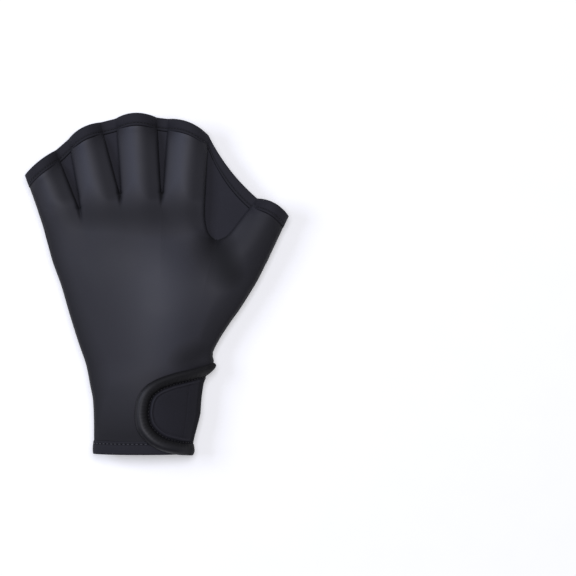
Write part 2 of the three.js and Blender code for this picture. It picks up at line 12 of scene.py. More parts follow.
import bpy
import numpy as np
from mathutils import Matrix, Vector

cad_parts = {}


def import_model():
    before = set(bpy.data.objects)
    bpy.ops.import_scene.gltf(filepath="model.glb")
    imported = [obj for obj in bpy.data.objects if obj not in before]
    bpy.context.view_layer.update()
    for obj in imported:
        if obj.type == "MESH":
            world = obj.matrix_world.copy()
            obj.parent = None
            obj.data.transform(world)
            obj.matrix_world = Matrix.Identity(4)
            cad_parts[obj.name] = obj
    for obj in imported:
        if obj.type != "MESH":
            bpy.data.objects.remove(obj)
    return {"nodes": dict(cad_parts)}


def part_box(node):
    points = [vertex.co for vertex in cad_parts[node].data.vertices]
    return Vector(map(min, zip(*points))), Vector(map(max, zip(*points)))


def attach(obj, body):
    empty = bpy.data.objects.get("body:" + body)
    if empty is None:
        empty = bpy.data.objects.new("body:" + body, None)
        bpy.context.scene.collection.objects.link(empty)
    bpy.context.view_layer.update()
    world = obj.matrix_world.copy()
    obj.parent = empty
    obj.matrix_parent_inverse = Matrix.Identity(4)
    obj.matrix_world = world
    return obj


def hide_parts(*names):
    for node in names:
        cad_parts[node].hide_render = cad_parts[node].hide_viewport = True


logging.basicConfig(level=logging.INFO, format="%(message)s")
LOG = logging.getLogger("swim_glove")

MM = 0.001


class Half(Enum):
    """Which half of the glove a surface belongs to."""

    BACK = 1
    PALM = -1


class Side(Enum):
    """A tube's side towards the little finger or towards the thumb."""

    LEFT = 0
    RIGHT = 1


# Shape of the glove


class Track:
    """A smooth line through values at whole rows, which never overshoots them."""

    def __init__(self, values: list) -> None:
        """Prepare the slopes.

        Args:
            values: one number or one point for each row.
        """
        self.values = np.asarray(values, dtype=float)
        steps = np.diff(self.values, axis=0)
        slopes = np.zeros_like(self.values)
        slopes[0], slopes[-1] = steps[0], steps[-1]
        before, after = steps[:-1], steps[1:]
        same_way = before * after > 0
        total = np.where(same_way, before + after, 1.0)
        slopes[1:-1] = np.where(same_way, 2 * before * after / total, 0.0)
        self.slopes = slopes

    def at(self, rows: np.ndarray) -> np.ndarray:
        """Read the line.

        Args:
            rows: places between the first and last row.

        Returns:
            The values there, one for each place.
        """
        rows = np.asarray(rows, dtype=float)
        last = len(self.values) - 1
        low = np.clip(np.floor(rows).astype(int), 0, last - 1)
        t = np.clip(rows - low, 0.0, 1.0)
        if self.values.ndim > 1:
            t = t[..., None]
        start, end = self.values[low], self.values[low + 1]
        rise, fall = self.slopes[low], self.slopes[low + 1]
        return (
            (2 * t**3 - 3 * t**2 + 1) * start
            + (t**3 - 2 * t**2 + t) * rise
            + (3 * t**2 - 2 * t**3) * end
            + (t**3 - t**2) * fall
        )


@dataclass(frozen=True)
class HandSection:
    """One section across the hand, as shares of the glove's sizes."""

    little: tuple[float, float]
    thumb: tuple[float, float]
    back: float
    palm: float
    lift: float
    thumb_split: float
    finger_split: float


@dataclass(frozen=True)
class Tube:
    """One finger's tube: its side edges near the crotch and at the finger edge."""

    name: str
    left: tuple[float, float] | None
    left_tip: tuple[float, float]
    right: tuple[float, float] | None
    right_tip: tuple[float, float]
    back: tuple[float, float]
    palm: tuple[float, float]
    bulge: float


HAND_SECTIONS = [
    HandSection((-0.194, 0.0), (0.169, 0.0), 0.74, 0.9, 0.5, 0, 0),
    HandSection((-0.194, 0.035), (0.173, 0.035), 0.75, 0.9, 0.5, 0, 0),
    HandSection((-0.194, 0.071), (0.179, 0.071), 0.76, 0.9, 0.5, 0, 0),
    HandSection((-0.195, 0.111), (0.186, 0.111), 0.77, 0.9, 0.5, 0, 0),
    HandSection((-0.198, 0.155), (0.19, 0.155), 0.79, 0.92, 0.5, 0, 0),
    HandSection((-0.209, 0.199), (0.197, 0.199), 0.82, 0.95, 0.5, 0, 0),
    HandSection((-0.222, 0.252), (0.231, 0.252), 0.86, 1.0, 0.46, 0, 0),
    HandSection((-0.253, 0.323), (0.267, 0.314), 0.92, 1.08, 0.1, 0.02, 0),
    HandSection((-0.287, 0.407), (0.313, 0.372), 0.98, 1.12, 0, 0.12, 0),
    HandSection((-0.317, 0.487), (0.357, 0.42), 1.0, 1.12, 0, 0.35, 0),
    HandSection((-0.35, 0.558), (0.397, 0.469), 0.92, 1.1, 0, 0.66, 0),
    HandSection((-0.364, 0.597), (0.421, 0.5), 0.8, 1.06, 0, 0.95, 0),
    HandSection((-0.375, 0.628), (0.439, 0.527), 0.64, 1.02, 0, 1, 0.02),
    HandSection((-0.385, 0.657), (0.451, 0.546), 0.54, 1.0, 0, 1, 0.14),
    HandSection((-0.394, 0.679), (0.462, 0.562), 0.55, 0.97, 0.02, 1, 0.45),
    HandSection((-0.402, 0.697), (0.47, 0.576), 0.6, 0.94, 0.05, 1, 0.86),
    HandSection((-0.408, 0.712), (0.478, 0.589), 0.62, 0.92, 0.08, 1, 1),
]
TUBES = [
    Tube("little", None, (-0.451, 0.806), (-0.261, 0.735), (-0.335, 0.878),
         (0.62, 0.48), (0.9, 0.84), 0.003),
    Tube("ring", (-0.247, 0.737), (-0.288, 0.91), (-0.106, 0.781), (-0.168, 0.959),
         (0.68, 0.5), (0.92, 0.84), 0.008),
    Tube("middle", (-0.091, 0.782), (-0.111, 0.97), (0.057, 0.783), (0.044, 0.973),
         (0.7, 0.52), (0.92, 0.84), 0.013),
    Tube("index", (0.07, 0.783), (0.085, 0.969), None, (0.238, 0.921),
         (0.68, 0.5), (0.92, 0.84), 0.013),
    Tube("thumb", None, (0.418, 0.738), None, (0.537, 0.687),
         (0.68, 0.54), (0.94, 0.86), 0.012),
]
CROTCHES = [(-0.248, 0.714), (-0.095, 0.758), (0.063, 0.76), (0.27, 0.622)]
CUFF_SHARES = [0.2, 0.42, 0.62, 0.82]
INDEX_SIDE = [(0.27, 0.622), (0.245, 0.633), (0.231, 0.656), (0.225, 0.686), (0.224, 0.721)]
THUMB_WEB_SIDE = [(0.27, 0.622), (0.289, 0.625), (0.309, 0.634), (0.326, 0.647), (0.342, 0.663)]
FINGER_ROWS = [0.12, 0.34, 0.58, 0.8, 1.0]
THUMB_CROTCH_ROW = 12
FINGER_CROTCH_ROW = 16
PALM_ROW = 6
EDGE_ROW = FINGER_CROTCH_ROW + len(FINGER_ROWS)
THUMB_WEB = 3
EDGE_COLUMNS = 40


def mix(a: np.ndarray | float, b: np.ndarray | float, share: np.ndarray | float) -> np.ndarray | float:
    """Blend two values by a share."""
    return a + (b - a) * share


def rising(value: np.ndarray, start: float, reach: float) -> np.ndarray:
    """Rise from 0 at a start to 1 a reach further on, or fall where the reach is negative."""
    return np.clip((value - start) / reach, 0, 1)


def unit(vectors: np.ndarray) -> np.ndarray:
    """Scale vectors along the last axis to length one."""
    return vectors / np.maximum(np.linalg.norm(vectors, axis=-1, keepdims=True), 1e-9)


def square(vectors: np.ndarray) -> np.ndarray:
    """Turn plan vectors a quarter turn to the left."""
    return np.stack([-vectors[..., 1], vectors[..., 0]], axis=-1)


@dataclass
class GloveForm:
    """The glove's surfaces as smooth functions of row, tube and share across it."""

    length: float = 226.0
    width: float = 175.0
    back_height: float = 21.0
    palm_depth: float = 13.0
    wall: float = 2.5
    inset: float = 2.2
    web: float = 2.0
    seam_gap: float = 0.12
    hand_fullness: float = 0.58
    block_fullness: float = 0.6
    finger_fullness: float = 0.64
    thumb_fullness: float = 0.66
    finger_lift: float = 0.13
    thumb_web_bulge: float = -0.012
    valley_sharpness: float = 4.0
    ceiling_ease: float = 0.8
    pucker_rise: float = 3.4
    pucker_height: float = 60.0
    pucker_reach: float = 3.4
    pucker_drop: float = -0.3
    shared: dict = field(default_factory=dict)
    own: dict = field(default_factory=dict)
    scalars: dict = field(default_factory=dict)

    def __post_init__(self) -> None:
        """Prepare every edge line and every height along the rows."""
        for line in range(1, len(TUBES)):
            last = self.crotch_row(line)
            rows = [self.shared_point(row, line) for row in range(last + 1)]
            self.shared[line] = Track(rows)
        for tube in range(len(TUBES)):
            for side in Side:
                self.own[tube, side] = Track(self.own_points(tube, side))
        for name in ("back", "palm", "lift", "thumb_split", "finger_split"):
            self.scalars[name] = Track([getattr(section, name) for section in HAND_SECTIONS])
        self.scalars["beyond"] = Track([0.0, *FINGER_ROWS])

    def plan(self, point: tuple[float, float]) -> np.ndarray:
        """Turn shares of width and length into millimetres."""
        return np.array([point[0] * self.width, point[1] * self.length])

    @staticmethod
    def crotch_row(line: int) -> int:
        """The row at which the two tubes beside a line part."""
        return THUMB_CROTCH_ROW if line == THUMB_WEB + 1 else FINGER_CROTCH_ROW

    def shared_point(self, row: int, line: int) -> np.ndarray:
        """A whole-row point of the line that two tubes share below their crotch."""
        low = HAND_SECTIONS[min(row, PALM_ROW)]
        base = mix(self.plan(low.little), self.plan(low.thumb), CUFF_SHARES[line - 1])
        if row <= PALM_ROW:
            return base
        share = line / len(TUBES)

        def place(index: int) -> float:
            section = HAND_SECTIONS[index]
            return mix(section.little[1], section.thumb[1], share)

        start = HAND_SECTIONS[PALM_ROW].little[1]
        reach = (place(row) - start) / (place(self.crotch_row(line)) - start)
        return mix(base, self.plan(CROTCHES[line - 1]), reach)

    def own_points(self, tube: int, side: Side) -> list:
        """The whole-row points of a tube's side edge, from its first row that is its own."""
        line = tube if side is Side.LEFT else tube + 1
        shape = TUBES[tube]
        tip = self.plan(shape.left_tip if side is Side.LEFT else shape.right_tip)
        if line in (0, len(TUBES)):
            key = "little" if line == 0 else "thumb"
            points = [self.plan(getattr(section, key)) for section in HAND_SECTIONS]
            return points + [mix(points[-1], tip, share) for share in FINGER_ROWS]
        if line == THUMB_WEB + 1:
            table = INDEX_SIDE if side is Side.RIGHT else THUMB_WEB_SIDE
            points = [self.plan(point) for point in table]
            return points + [mix(points[-1], tip, share) for share in FINGER_ROWS]
        near = self.plan(shape.left if side is Side.LEFT else shape.right)
        first = FINGER_ROWS[0]
        rest = [mix(near, tip, (share - first) / (1 - first)) for share in FINGER_ROWS]
        return [self.plan(CROTCHES[line - 1]), *rest]

    def side_line(self, rows: np.ndarray, tube: int, side: Side) -> np.ndarray:
        """Points of a tube's side edge.

        Args:
            rows: places along the rows.
            tube: the tube's number.
            side: which side.

        Returns:
            Plan points in millimetres, one for each place.
        """
        line = tube if side is Side.LEFT else tube + 1
        own = self.own[tube, side]
        if line in (0, len(TUBES)):
            points = own.at(rows)
            if line:
                above = (points[..., 1] - self.pucker_height) / self.pucker_reach
                bump = self.pucker_rise * np.exp(-(above**2))
                points = points + bump[..., None] * np.array([1.0, self.pucker_drop])
            return points
        start = self.crotch_row(line)
        low = self.shared[line].at(np.minimum(rows, start))
        high = own.at(np.maximum(rows, start) - start)
        return np.where((rows <= start)[..., None], low, high)

    def beyond(self, rows: np.ndarray) -> np.ndarray:
        """How far rows lie from the finger crotches towards the finger edge, 0 to 1."""
        return np.clip(self.scalars["beyond"].at(np.maximum(rows - FINGER_CROTCH_ROW, 0)), 0, 1)

    def plan_grid(self, rows: np.ndarray, tube: int, shares: np.ndarray) -> np.ndarray:
        """Plan points of a tube.

        Args:
            rows: places along the rows.
            tube: the tube's number.
            shares: shares across it, one list or one for each row.

        Returns:
            An array of rows by shares by two.
        """
        left = self.side_line(rows, tube, Side.LEFT)[:, None, :]
        right = self.side_line(rows, tube, Side.RIGHT)[:, None, :]
        shares = np.broadcast_to(shares, (len(rows), np.shape(shares)[-1]))[..., None]
        bow = TUBES[tube].bulge * self.length * self.beyond(rows)[:, None, None] ** 2
        across = unit(right - left)
        return mix(left, right, shares) + square(across) * bow * 4 * shares * (1 - shares)

    def widths(self, rows: np.ndarray, count: int) -> np.ndarray:
        """Widths of the first tubes at each row."""
        spans = [
            self.side_line(rows, tube, Side.RIGHT) - self.side_line(rows, tube, Side.LEFT)
            for tube in range(count)
        ]
        return np.linalg.norm(np.array(spans), axis=-1)

    def span_share(self, rows: np.ndarray, tube: int, shares: np.ndarray, count: int) -> np.ndarray:
        """Shares across the first tubes taken as one span."""
        widths = self.widths(rows, count)
        before = widths[:tube].sum(axis=0)[:, None]
        return (before + shares * widths[tube][:, None]) / widths.sum(axis=0)[:, None]

    @staticmethod
    def arch(share: np.ndarray, fullness: float) -> np.ndarray:
        """A rounded arch from 0 up to 1 and back to 0."""
        return np.maximum(0.0, np.sin(np.pi * share)) ** fullness

    def blend(self, a: np.ndarray, b: np.ndarray, share: np.ndarray) -> np.ndarray:
        """Let one arch give way to another, with a shallow valley between them."""
        power = self.valley_sharpness
        return mix(a**power, b**power, share) ** (1 / power)

    def height(self, rows: np.ndarray, tube: int, shares: np.ndarray, half: Half) -> np.ndarray:
        """Height of the outer surface off the middle plane.

        Args:
            rows: places along the rows.
            tube: the tube's number.
            shares: shares across it, one list or one for each row.
            half: the back or the palm.

        Returns:
            Heights, rows by shares.
        """
        shares = np.broadcast_to(shares, (len(rows), np.shape(shares)[-1]))
        key = "back" if half is Half.BACK else "palm"
        scale = self.back_height if half is Half.BACK else self.palm_depth
        below = np.minimum(rows, FINGER_CROTCH_ROW)
        section = self.scalars[key].at(below)[:, None]
        beyond = self.beyond(rows)[:, None]
        crest = mix(*getattr(TUBES[tube], key), beyond)
        is_thumb = tube == len(TUBES) - 1
        own = crest * self.arch(shares, self.thumb_fullness if is_thumb else self.finger_fullness)
        whole = section * self.arch(self.span_share(rows, tube, shares, len(TUBES)), self.hand_fullness)
        parted = own
        if not is_thumb:
            span = self.span_share(rows, tube, shares, len(TUBES) - 1)
            block = section * self.arch(span, self.block_fullness)
            parted = self.blend(block, own, self.scalars["finger_split"].at(below)[:, None])
        height = self.blend(whole, parted, self.scalars["thumb_split"].at(below)[:, None]) * scale
        if half is Half.BACK:
            return height
        lift = mix(self.scalars["lift"].at(below)[:, None], self.finger_lift, beyond)
        ceiling = (1 - lift) * self.palm_depth
        soft = self.ceiling_ease
        return ceiling - soft * np.log1p(np.exp(np.clip((ceiling - height) / soft, -40, 40))) + (
            soft * np.log1p(np.exp(-ceiling / soft))
        )

    def level(self, height: np.ndarray, half: Half) -> np.ndarray:
        """Turn a height off the middle plane into a height over the ground."""
        return self.palm_depth + half.value * (self.seam_gap / 2 + height)

    def row_at(self, length: float) -> float:
        """The row that lies at a height up the wrist."""
        places = [section.little[1] * self.length for section in HAND_SECTIONS[: PALM_ROW + 2]]
        dense = np.linspace(0, PALM_ROW + 1, 400)
        return float(np.interp(length, Track(places).at(dense), dense))

    def section(self, length: float, shares: np.ndarray, half: Half) -> np.ndarray:
        """One half's outline across the wrist, from the little finger's side to the thumb's.

        Args:
            length: the height up the wrist.
            shares: shares across each tube.
            half: the back or the palm.

        Returns:
            Pairs of X and height over the ground.
        """
        row = np.array([self.row_at(length)])
        spans = []
        for tube in range(len(TUBES)):
            plan = self.plan_grid(row, tube, shares)[0]
            height = self.height(row, tube, shares, half)[0]
            span = np.stack([plan[:, 0], self.level(height, half)], axis=1)
            spans.append(span if tube == len(TUBES) - 1 else span[:-1])
        return np.concatenate(spans)


def flat_ground(points: np.ndarray) -> np.ndarray:
    """Keep points on or above the part's own ground."""
    points[..., 2] = np.maximum(points[..., 2], 0.0)
    return points


def column_shares(count: int) -> np.ndarray:
    """Shares across a tube, closer together near its sides."""
    return (1 - np.cos(np.pi * np.arange(count + 1) / count)) / 2


def row_places(first: float, last: float, per_row: int) -> np.ndarray:
    """Places along the rows with the whole rows among them."""
    return np.linspace(first, last, int(round((last - first) * per_row)) + 1)


# Making meshes


@dataclass
class Place:
    """Where the part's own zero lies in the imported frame, in millimetres."""

    shift: np.ndarray

    def to_metres(self, points: np.ndarray) -> np.ndarray:
        """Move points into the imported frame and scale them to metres."""
        return (np.asarray(points, dtype=float) + self.shift) * MM


@dataclass
class Workshop:
    """Makes finished objects that ride on the glove's one body."""

    place: Place
    collection: bpy.types.Collection

    def solid(
        self,
        name: str,
        points: np.ndarray,
        faces: list,
        material: bpy.types.Material,
        coords: np.ndarray | None = None,
    ) -> bpy.types.Object:
        """Make a smooth mesh object.

        Args:
            name: the piece's name.
            points: points in the part's own millimetres.
            faces: lists of point numbers, facing out.
            material: its finish.
            coords: cloth coordinates in millimetres, one for each point.

        Returns:
            The new object.
        """
        mesh = bpy.data.meshes.new(name)
        mesh.from_pydata(self.place.to_metres(points).tolist(), [], faces)
        mesh.materials.append(material)
        mesh.polygons.foreach_set("use_smooth", [True] * len(mesh.polygons))
        if coords is not None:
            layer = mesh.uv_layers.new(name="cloth")
            loops = np.zeros(len(mesh.loops), dtype=np.int32)
            mesh.loops.foreach_get("vertex_index", loops)
            layer.data.foreach_set("uv", np.asarray(coords, dtype=float)[loops].reshape(-1))
        mesh.update()
        made = bpy.data.objects.new(name, mesh)
        self.collection.objects.link(made)
        return made

    @staticmethod
    def painted_shade(piece: bpy.types.Object, depths: np.ndarray) -> None:
        """Store the painted shade at each point, 0 to 1: the cloth is drawn darker and more matt where it
        is higher.
        """
        layer = piece.data.attributes.new("painted_shade", "FLOAT", "POINT")
        layer.data.foreach_set("value", np.asarray(depths, dtype=np.float32))

    def finish_piece(self, piece: bpy.types.Object, slot: str, *nodes: str) -> bpy.types.Object:
        """Let a piece ride on the body and stand for its nodes."""
        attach(piece, "root")
        if nodes:
            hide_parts(*nodes)
        LOG.info("%s: %d faces", piece.name, len(piece.data.polygons))
        return piece


def shell(outer: np.ndarray, inner: np.ndarray, quads: np.ndarray, flip: bool) -> tuple[np.ndarray, list]:
    """Close the wall between two surfaces that share their cells.

    Args:
        outer: outer points.
        inner: inner points, in the same order.
        quads: cells as rows of four point numbers.
        flip: whether the cells face inwards as given.

    Returns:
        The points of both surfaces and all faces.
    """
    if flip:
        quads = quads[:, ::-1]
    count = len(outer)
    edges = np.concatenate([quads[:, [k, (k + 1) % 4]] for k in range(4)])
    edges = edges[edges[:, 0] != edges[:, 1]]
    seen = {(int(a), int(b)) for a, b in edges}
    rim = [(a, b) for a, b in seen if (b, a) not in seen]
    faces = [clean(q) for q in quads.tolist()]
    faces += [clean([q[0] + count, q[3] + count, q[2] + count, q[1] + count]) for q in quads.tolist()]
    faces += [[b, a, a + count, b + count] for a, b in rim]
    return np.concatenate([outer, inner]), [f for f in faces if len(f) > 2]


def clean(face: list) -> list:
    """Drop the repeated corners of a face."""
    return [v for i, v in enumerate(face) if v != face[i - 1]]


def grid_quads(rows: int, columns: int) -> np.ndarray:
    """Cells of a grid of points that is stored row by row."""
    index = np.arange(rows * columns).reshape(rows, columns)
    cells = [index[:-1, :-1], index[:-1, 1:], index[1:, 1:], index[1:, :-1]]
    return np.stack([c.reshape(-1) for c in cells], axis=1)


def swept(profiles: np.ndarray, closed: bool) -> tuple[np.ndarray, list]:
    """Join profiles of equal length into one solid.

    Args:
        profiles: stations by profile points by three.
        closed: whether the last station joins the first.

    Returns:
        Points and faces.
    """
    stations, size, _ = profiles.shape
    faces = []
    for i in range(stations if closed else stations - 1):
        a, b = i * size, ((i + 1) % stations) * size
        for k in range(size):
            n = (k + 1) % size
            faces.append([a + k, b + k, b + n, a + n])
    if not closed:
        faces.append(list(range(size)))
        faces.append([(stations - 1) * size + k for k in reversed(range(size))])
    return profiles.reshape(-1, 3), faces


def evened(line: np.ndarray, spread: float) -> np.ndarray:
    """Smooth the heights along lines of unevenly spaced points.

    Args:
        line: lines by points by three, with Z up.
        spread: the reach of the smoothing in millimetres.

    Returns:
        The new heights, lines by points.
    """
    steps = np.linalg.norm(np.diff(line[..., :2], axis=1), axis=-1)
    run = np.concatenate([np.zeros((len(line), 1)), np.cumsum(steps, axis=1)], axis=1)
    weight = np.gradient(run, axis=1)
    apart = run[:, :, None] - run[:, None, :]
    kernel = np.exp(-0.5 * (apart / spread) ** 2) * weight[:, None, :]
    return (kernel * line[:, None, :, 2]).sum(axis=-1) / kernel.sum(axis=-1)


def band_coords(run: np.ndarray, count: int, pitch: float) -> np.ndarray:
    """Cloth coordinates of a band whose lines lie an even pitch apart.

    Args:
        run: distances along the band.
        count: how many lines it has.
        pitch: the cloth between two lines.

    Returns:
        One pair for each point, station by station.
    """
    return np.stack([np.repeat(run, count), np.tile(np.arange(count) * pitch, len(run))], axis=1)


def smoothed(values: np.ndarray, spread: float) -> np.ndarray:
    """Smooth a list of values with a bell-shaped window."""
    reach = int(spread * 3)
    window = np.exp(-0.5 * (np.arange(-reach, reach + 1) / spread) ** 2)
    padded = np.pad(values, reach, mode="edge")
    return np.convolve(padded, window / window.sum(), mode="valid")


def run_along(points: np.ndarray) -> np.ndarray:
    """Distances along a line, from 0 at its first point."""
    return np.concatenate([[0], np.cumsum(np.linalg.norm(np.diff(points, axis=0), axis=1))])


def read_along(points: np.ndarray, run: np.ndarray, places: np.ndarray) -> np.ndarray:
    """Read a plan line at new places along it."""
    return np.stack([np.interp(places, run, points[:, k]) for k in range(2)], axis=1)


def rounded(points: np.ndarray, spread: float) -> np.ndarray:
    """Smooth both coordinates of a plan line."""
    return np.stack([smoothed(points[:, k], spread) for k in range(2)], axis=1)


@dataclass(frozen=True)
class BandLine:
    """One line along a band: how far in it lies, its rise, its gathers and its painted shade."""

    place: float
    rise: float
    gather: float = 0.0
    painted_shade: float = 0.0


@dataclass(frozen=True)
class Mark:
    """A long soft patch on the cloth, by its centre, turn, half sizes and strength: a band of painted shade
    or a crease.
    """

    x: float
    y: float
    turn: float
    long: float
    wide: float
    strength: float

    def shares(self, x: np.ndarray, y: np.ndarray) -> tuple[np.ndarray, np.ndarray]:
        """Places along and across the mark as shares of its half sizes."""
        u = (x - self.x) * math.cos(self.turn) + (y - self.y) * math.sin(self.turn)
        v = -(x - self.x) * math.sin(self.turn) + (y - self.y) * math.cos(self.turn)
        return u / self.long, v / self.wide


@dataclass(frozen=True)
class EdgeLine:
    """A line that follows an edge, by how far inside it lies, its half width and its rise."""

    inside: float
    wide: float
    rise: float

    def over(self, inside: np.ndarray) -> np.ndarray:
        """The line's rise at distances inside the edge."""
        return self.rise * np.exp(-(((inside - self.inside) / self.wide) ** 2))


def turn_out(points: np.ndarray, faces: list) -> list:
    """Reverse all faces where the closed shape they make is inside out."""
    total = 0.0
    for face in faces:
        a = points[face[0]]
        for i in range(1, len(face) - 1):
            total += float(np.dot(a, np.cross(points[face[i]], points[face[i + 1]])))
    return faces if total > 0 else [list(reversed(face)) for face in faces]


# Finishes


class Graph:
    """A small helper that adds and joins nodes in a tree."""

    def __init__(self, tree: bpy.types.NodeTree) -> None:
        """Keep the tree."""
        self.tree = tree

    def add(self, kind: str, inputs: dict | None = None, **settings: object) -> bpy.types.Node:
        """Add a node.

        Args:
            kind: the node's type.
            inputs: socket names or numbers with values or sockets.
            **settings: attributes of the node.

        Returns:
            The node.
        """
        node = self.tree.nodes.new(kind)
        for key, value in settings.items():
            setattr(node, key, value)
        for key, value in (inputs or {}).items():
            self.join(value, node.inputs[key])
        return node

    def join(self, value: object, socket: bpy.types.NodeSocket) -> None:
        """Link a socket to another, or set its value."""
        if isinstance(value, bpy.types.NodeSocket):
            self.tree.links.new(value, socket)
        else:
            socket.default_value = value


class Nodes(Graph):
    """A material's shader nodes."""

    def __init__(self, name: str) -> None:
        """Start an empty material with a shader and an output."""
        self.material = bpy.data.materials.new(name)
        self.material.use_nodes = True
        super().__init__(self.material.node_tree)
        self.shader = self.tree.nodes["Principled BSDF"]

    def math(self, operation: str, a: object, b: object = 0.0) -> bpy.types.NodeSocket:
        """Add a sum and return its result."""
        return self.add("ShaderNodeMath", {0: a, 1: b}, operation=operation).outputs[0]

    def noise(self, place: bpy.types.NodeSocket, scale: float, detail: float = 2.0) -> bpy.types.NodeSocket:
        """Add a noise and return its grey value."""
        node = self.add("ShaderNodeTexNoise", {"Vector": place, "Scale": scale, "Detail": detail})
        return node.outputs[0]

    def ramp(
        self, value: object, low: float, high: float, to_low: float, to_high: float
    ) -> bpy.types.NodeSocket:
        """Map a range of values onto another."""
        node = self.add(
            "ShaderNodeMapRange",
            {"Value": value, "From Min": low, "From Max": high, "To Min": to_low, "To Max": to_high},
        )
        return node.outputs[0]

    def blend(
        self, share: object, low: tuple, high: tuple, **settings: object
    ) -> bpy.types.NodeSocket:
        """Blend two colours by a share."""
        inputs = {0: share, 6: (*low, 1.0), 7: (*high, 1.0)}
        return self.add("ShaderNodeMix", inputs, data_type="RGBA", **settings).outputs[2]


@dataclass(frozen=True)
class KnitFinish:
    """Jersey-faced foam rubber: fine ribs, a soft fuzz and slight mottling."""

    name: str
    light: tuple[float, float, float]
    dark: tuple[float, float, float]
    roughness: float = 0.6
    specular: float = 0.5
    rib: float = 0.55
    loop_pitch: float = 0.8
    loop_lean: float = 0.9
    depth: float = 0.02
    fuzz_and_far_side_shade: float = 0.5
    highlight_tint_reach: float = 0.33
    painted_highlight_tone: float = 1.45
    painted_shade_tone: float = 0.35
    shade_roughness: float = 0.34
    painted_highlight_hue: tuple[float, float, float] = (1.0, 1.0, 1.0)
    broad_scale: float = 28.0
    fine_scale: float = 900.0
    fuzz_scale: float = 3200.0
    broad_share: float = 0.6
    fine_share: float = 0.25
    knit_share: float = 0.15
    rough_spread: float = 0.04

    def make(self) -> bpy.types.Material:
        """Build the material.

        Returns:
            A material that reads the cloth coordinates and Object coordinates.
        """
        n = Nodes(self.name)
        coords = n.add("ShaderNodeTexCoord")
        cloth = n.add("ShaderNodeUVMap", uv_map="cloth").outputs[0]
        apart = n.add("ShaderNodeSeparateXYZ", {0: cloth})
        across, along = apart.outputs[0], apart.outputs[1]
        turn = 2 * math.pi / self.rib
        ribs = n.math("SINE", n.math("MULTIPLY", across, turn))
        lean = n.math("MULTIPLY", along, turn * self.loop_pitch)
        loops = n.math("SINE", n.math("ADD", lean, n.math("MULTIPLY", ribs, self.loop_lean)))
        knit = n.math("ADD", n.math("MULTIPLY", ribs, 0.5), n.math("MULTIPLY", loops, 0.5))
        place = coords.outputs["Object"]
        broad = n.noise(place, self.broad_scale, 3.0)
        fine = n.noise(place, self.fine_scale, 2.0)
        fuzz = n.noise(place, self.fuzz_scale, 1.0)
        mottle = n.ramp(broad, 0.35, 0.65, 0.0, self.broad_share)
        shade = n.math("ADD", mottle, n.ramp(fine, 0.3, 0.7, 0.0, self.fine_share))
        shade = n.math("ADD", shade, n.ramp(knit, -1.0, 1.0, 0.0, self.knit_share))
        # The attribute read here paints light into the colour: lighter and bluer as a painted highlight
        # where it is 0, darker and more matt as painted shade where it is 1.
        painted_shade = n.add("ShaderNodeAttribute", attribute_name="painted_shade").outputs["Fac"]
        colour = n.blend(shade, self.dark, self.light)
        tone = n.ramp(painted_shade, 0.0, 1.0, self.painted_highlight_tone, self.painted_shade_tone)
        toned = n.add("ShaderNodeVectorMath", {0: colour, 3: tone}, operation="SCALE").outputs[0]
        hue = n.blend(n.ramp(painted_shade, 0.0, self.highlight_tint_reach, 0.0, 1.0), self.painted_highlight_hue, (1.0, 1.0, 1.0))
        tinted = n.add("ShaderNodeVectorMath", {0: toned, 1: hue}, operation="MULTIPLY").outputs[0]
        n.join(tinted, n.shader.inputs["Base Color"])
        smooth, coarse = self.roughness - self.rough_spread, self.roughness + self.rough_spread
        rough = n.ramp(broad, 0.3, 0.7, smooth, coarse)
        rough = n.math("ADD", rough, n.math("MULTIPLY", painted_shade, self.shade_roughness))
        n.join(rough, n.shader.inputs["Roughness"])
        relief = n.math("ADD", n.math("MULTIPLY", knit, 0.5), n.math("MULTIPLY", fuzz, self.fuzz_and_far_side_shade))
        relief = n.math("ADD", relief, n.math("MULTIPLY", fine, 0.6))
        bump = n.add("ShaderNodeBump", {"Height": relief, "Strength": 0.6, "Distance": self.depth * MM})
        n.join(bump.outputs[0], n.shader.inputs["Normal"])
        n.shader.inputs["Specular IOR Level"].default_value = self.specular
        return n.material


@dataclass(frozen=True)
class ThreadFinish:
    """Twisted polyester sewing thread."""

    name: str
    colour: tuple[float, float, float]
    roughness: float = 0.5

    def make(self) -> bpy.types.Material:
        """Build the material.

        Returns:
            A material with fine slanted strands.
        """
        n = Nodes(self.name)
        place = n.add("ShaderNodeTexCoord").outputs["Object"]
        wave = n.add("ShaderNodeTexWave", {"Vector": place, "Scale": 1800.0, "Distortion": 2.0})
        tone = n.ramp(wave.outputs[1], 0.0, 1.0, 0.75, 1.15)
        colour = n.blend(tone, (0.0, 0.0, 0.0), self.colour, clamp_factor=False)
        n.join(colour, n.shader.inputs["Base Color"])
        rough = n.ramp(wave.outputs[1], 0.0, 1.0, self.roughness, self.roughness + 0.2)
        n.join(rough, n.shader.inputs["Roughness"])
        bump = n.add("ShaderNodeBump", {"Height": wave.outputs[1], "Strength": 0.4, "Distance": 0.05 * MM})
        n.join(bump.outputs[0], n.shader.inputs["Normal"])
        return n.material


@dataclass(frozen=True)
class GroundFinish:
    """Plain pale paper under the glove."""

    name: str = "light_table"
    tone: float = 0.9
    glow: float = 0.32

    def make(self) -> bpy.types.Material:
        """Build the material.

        Returns:
            A pale material with a faint grain.
        """
        n = Nodes(self.name)
        place = n.add("ShaderNodeTexCoord").outputs["Object"]
        grain = n.ramp(n.noise(place, 40.0), 0.3, 0.7, self.tone - 0.005, self.tone + 0.005)
        colour = n.add("ShaderNodeCombineColor", {0: grain, 1: grain, 2: grain}).outputs[0]
        n.join(colour, n.shader.inputs["Base Color"])
        n.shader.inputs["Roughness"].default_value = 0.9
        n.shader.inputs["Specular IOR Level"].default_value = 0.1
        n.shader.inputs["Emission Color"].default_value = (1.0, 1.0, 1.0, 1.0)
        n.shader.inputs["Emission Strength"].default_value = self.glow
        return n.material


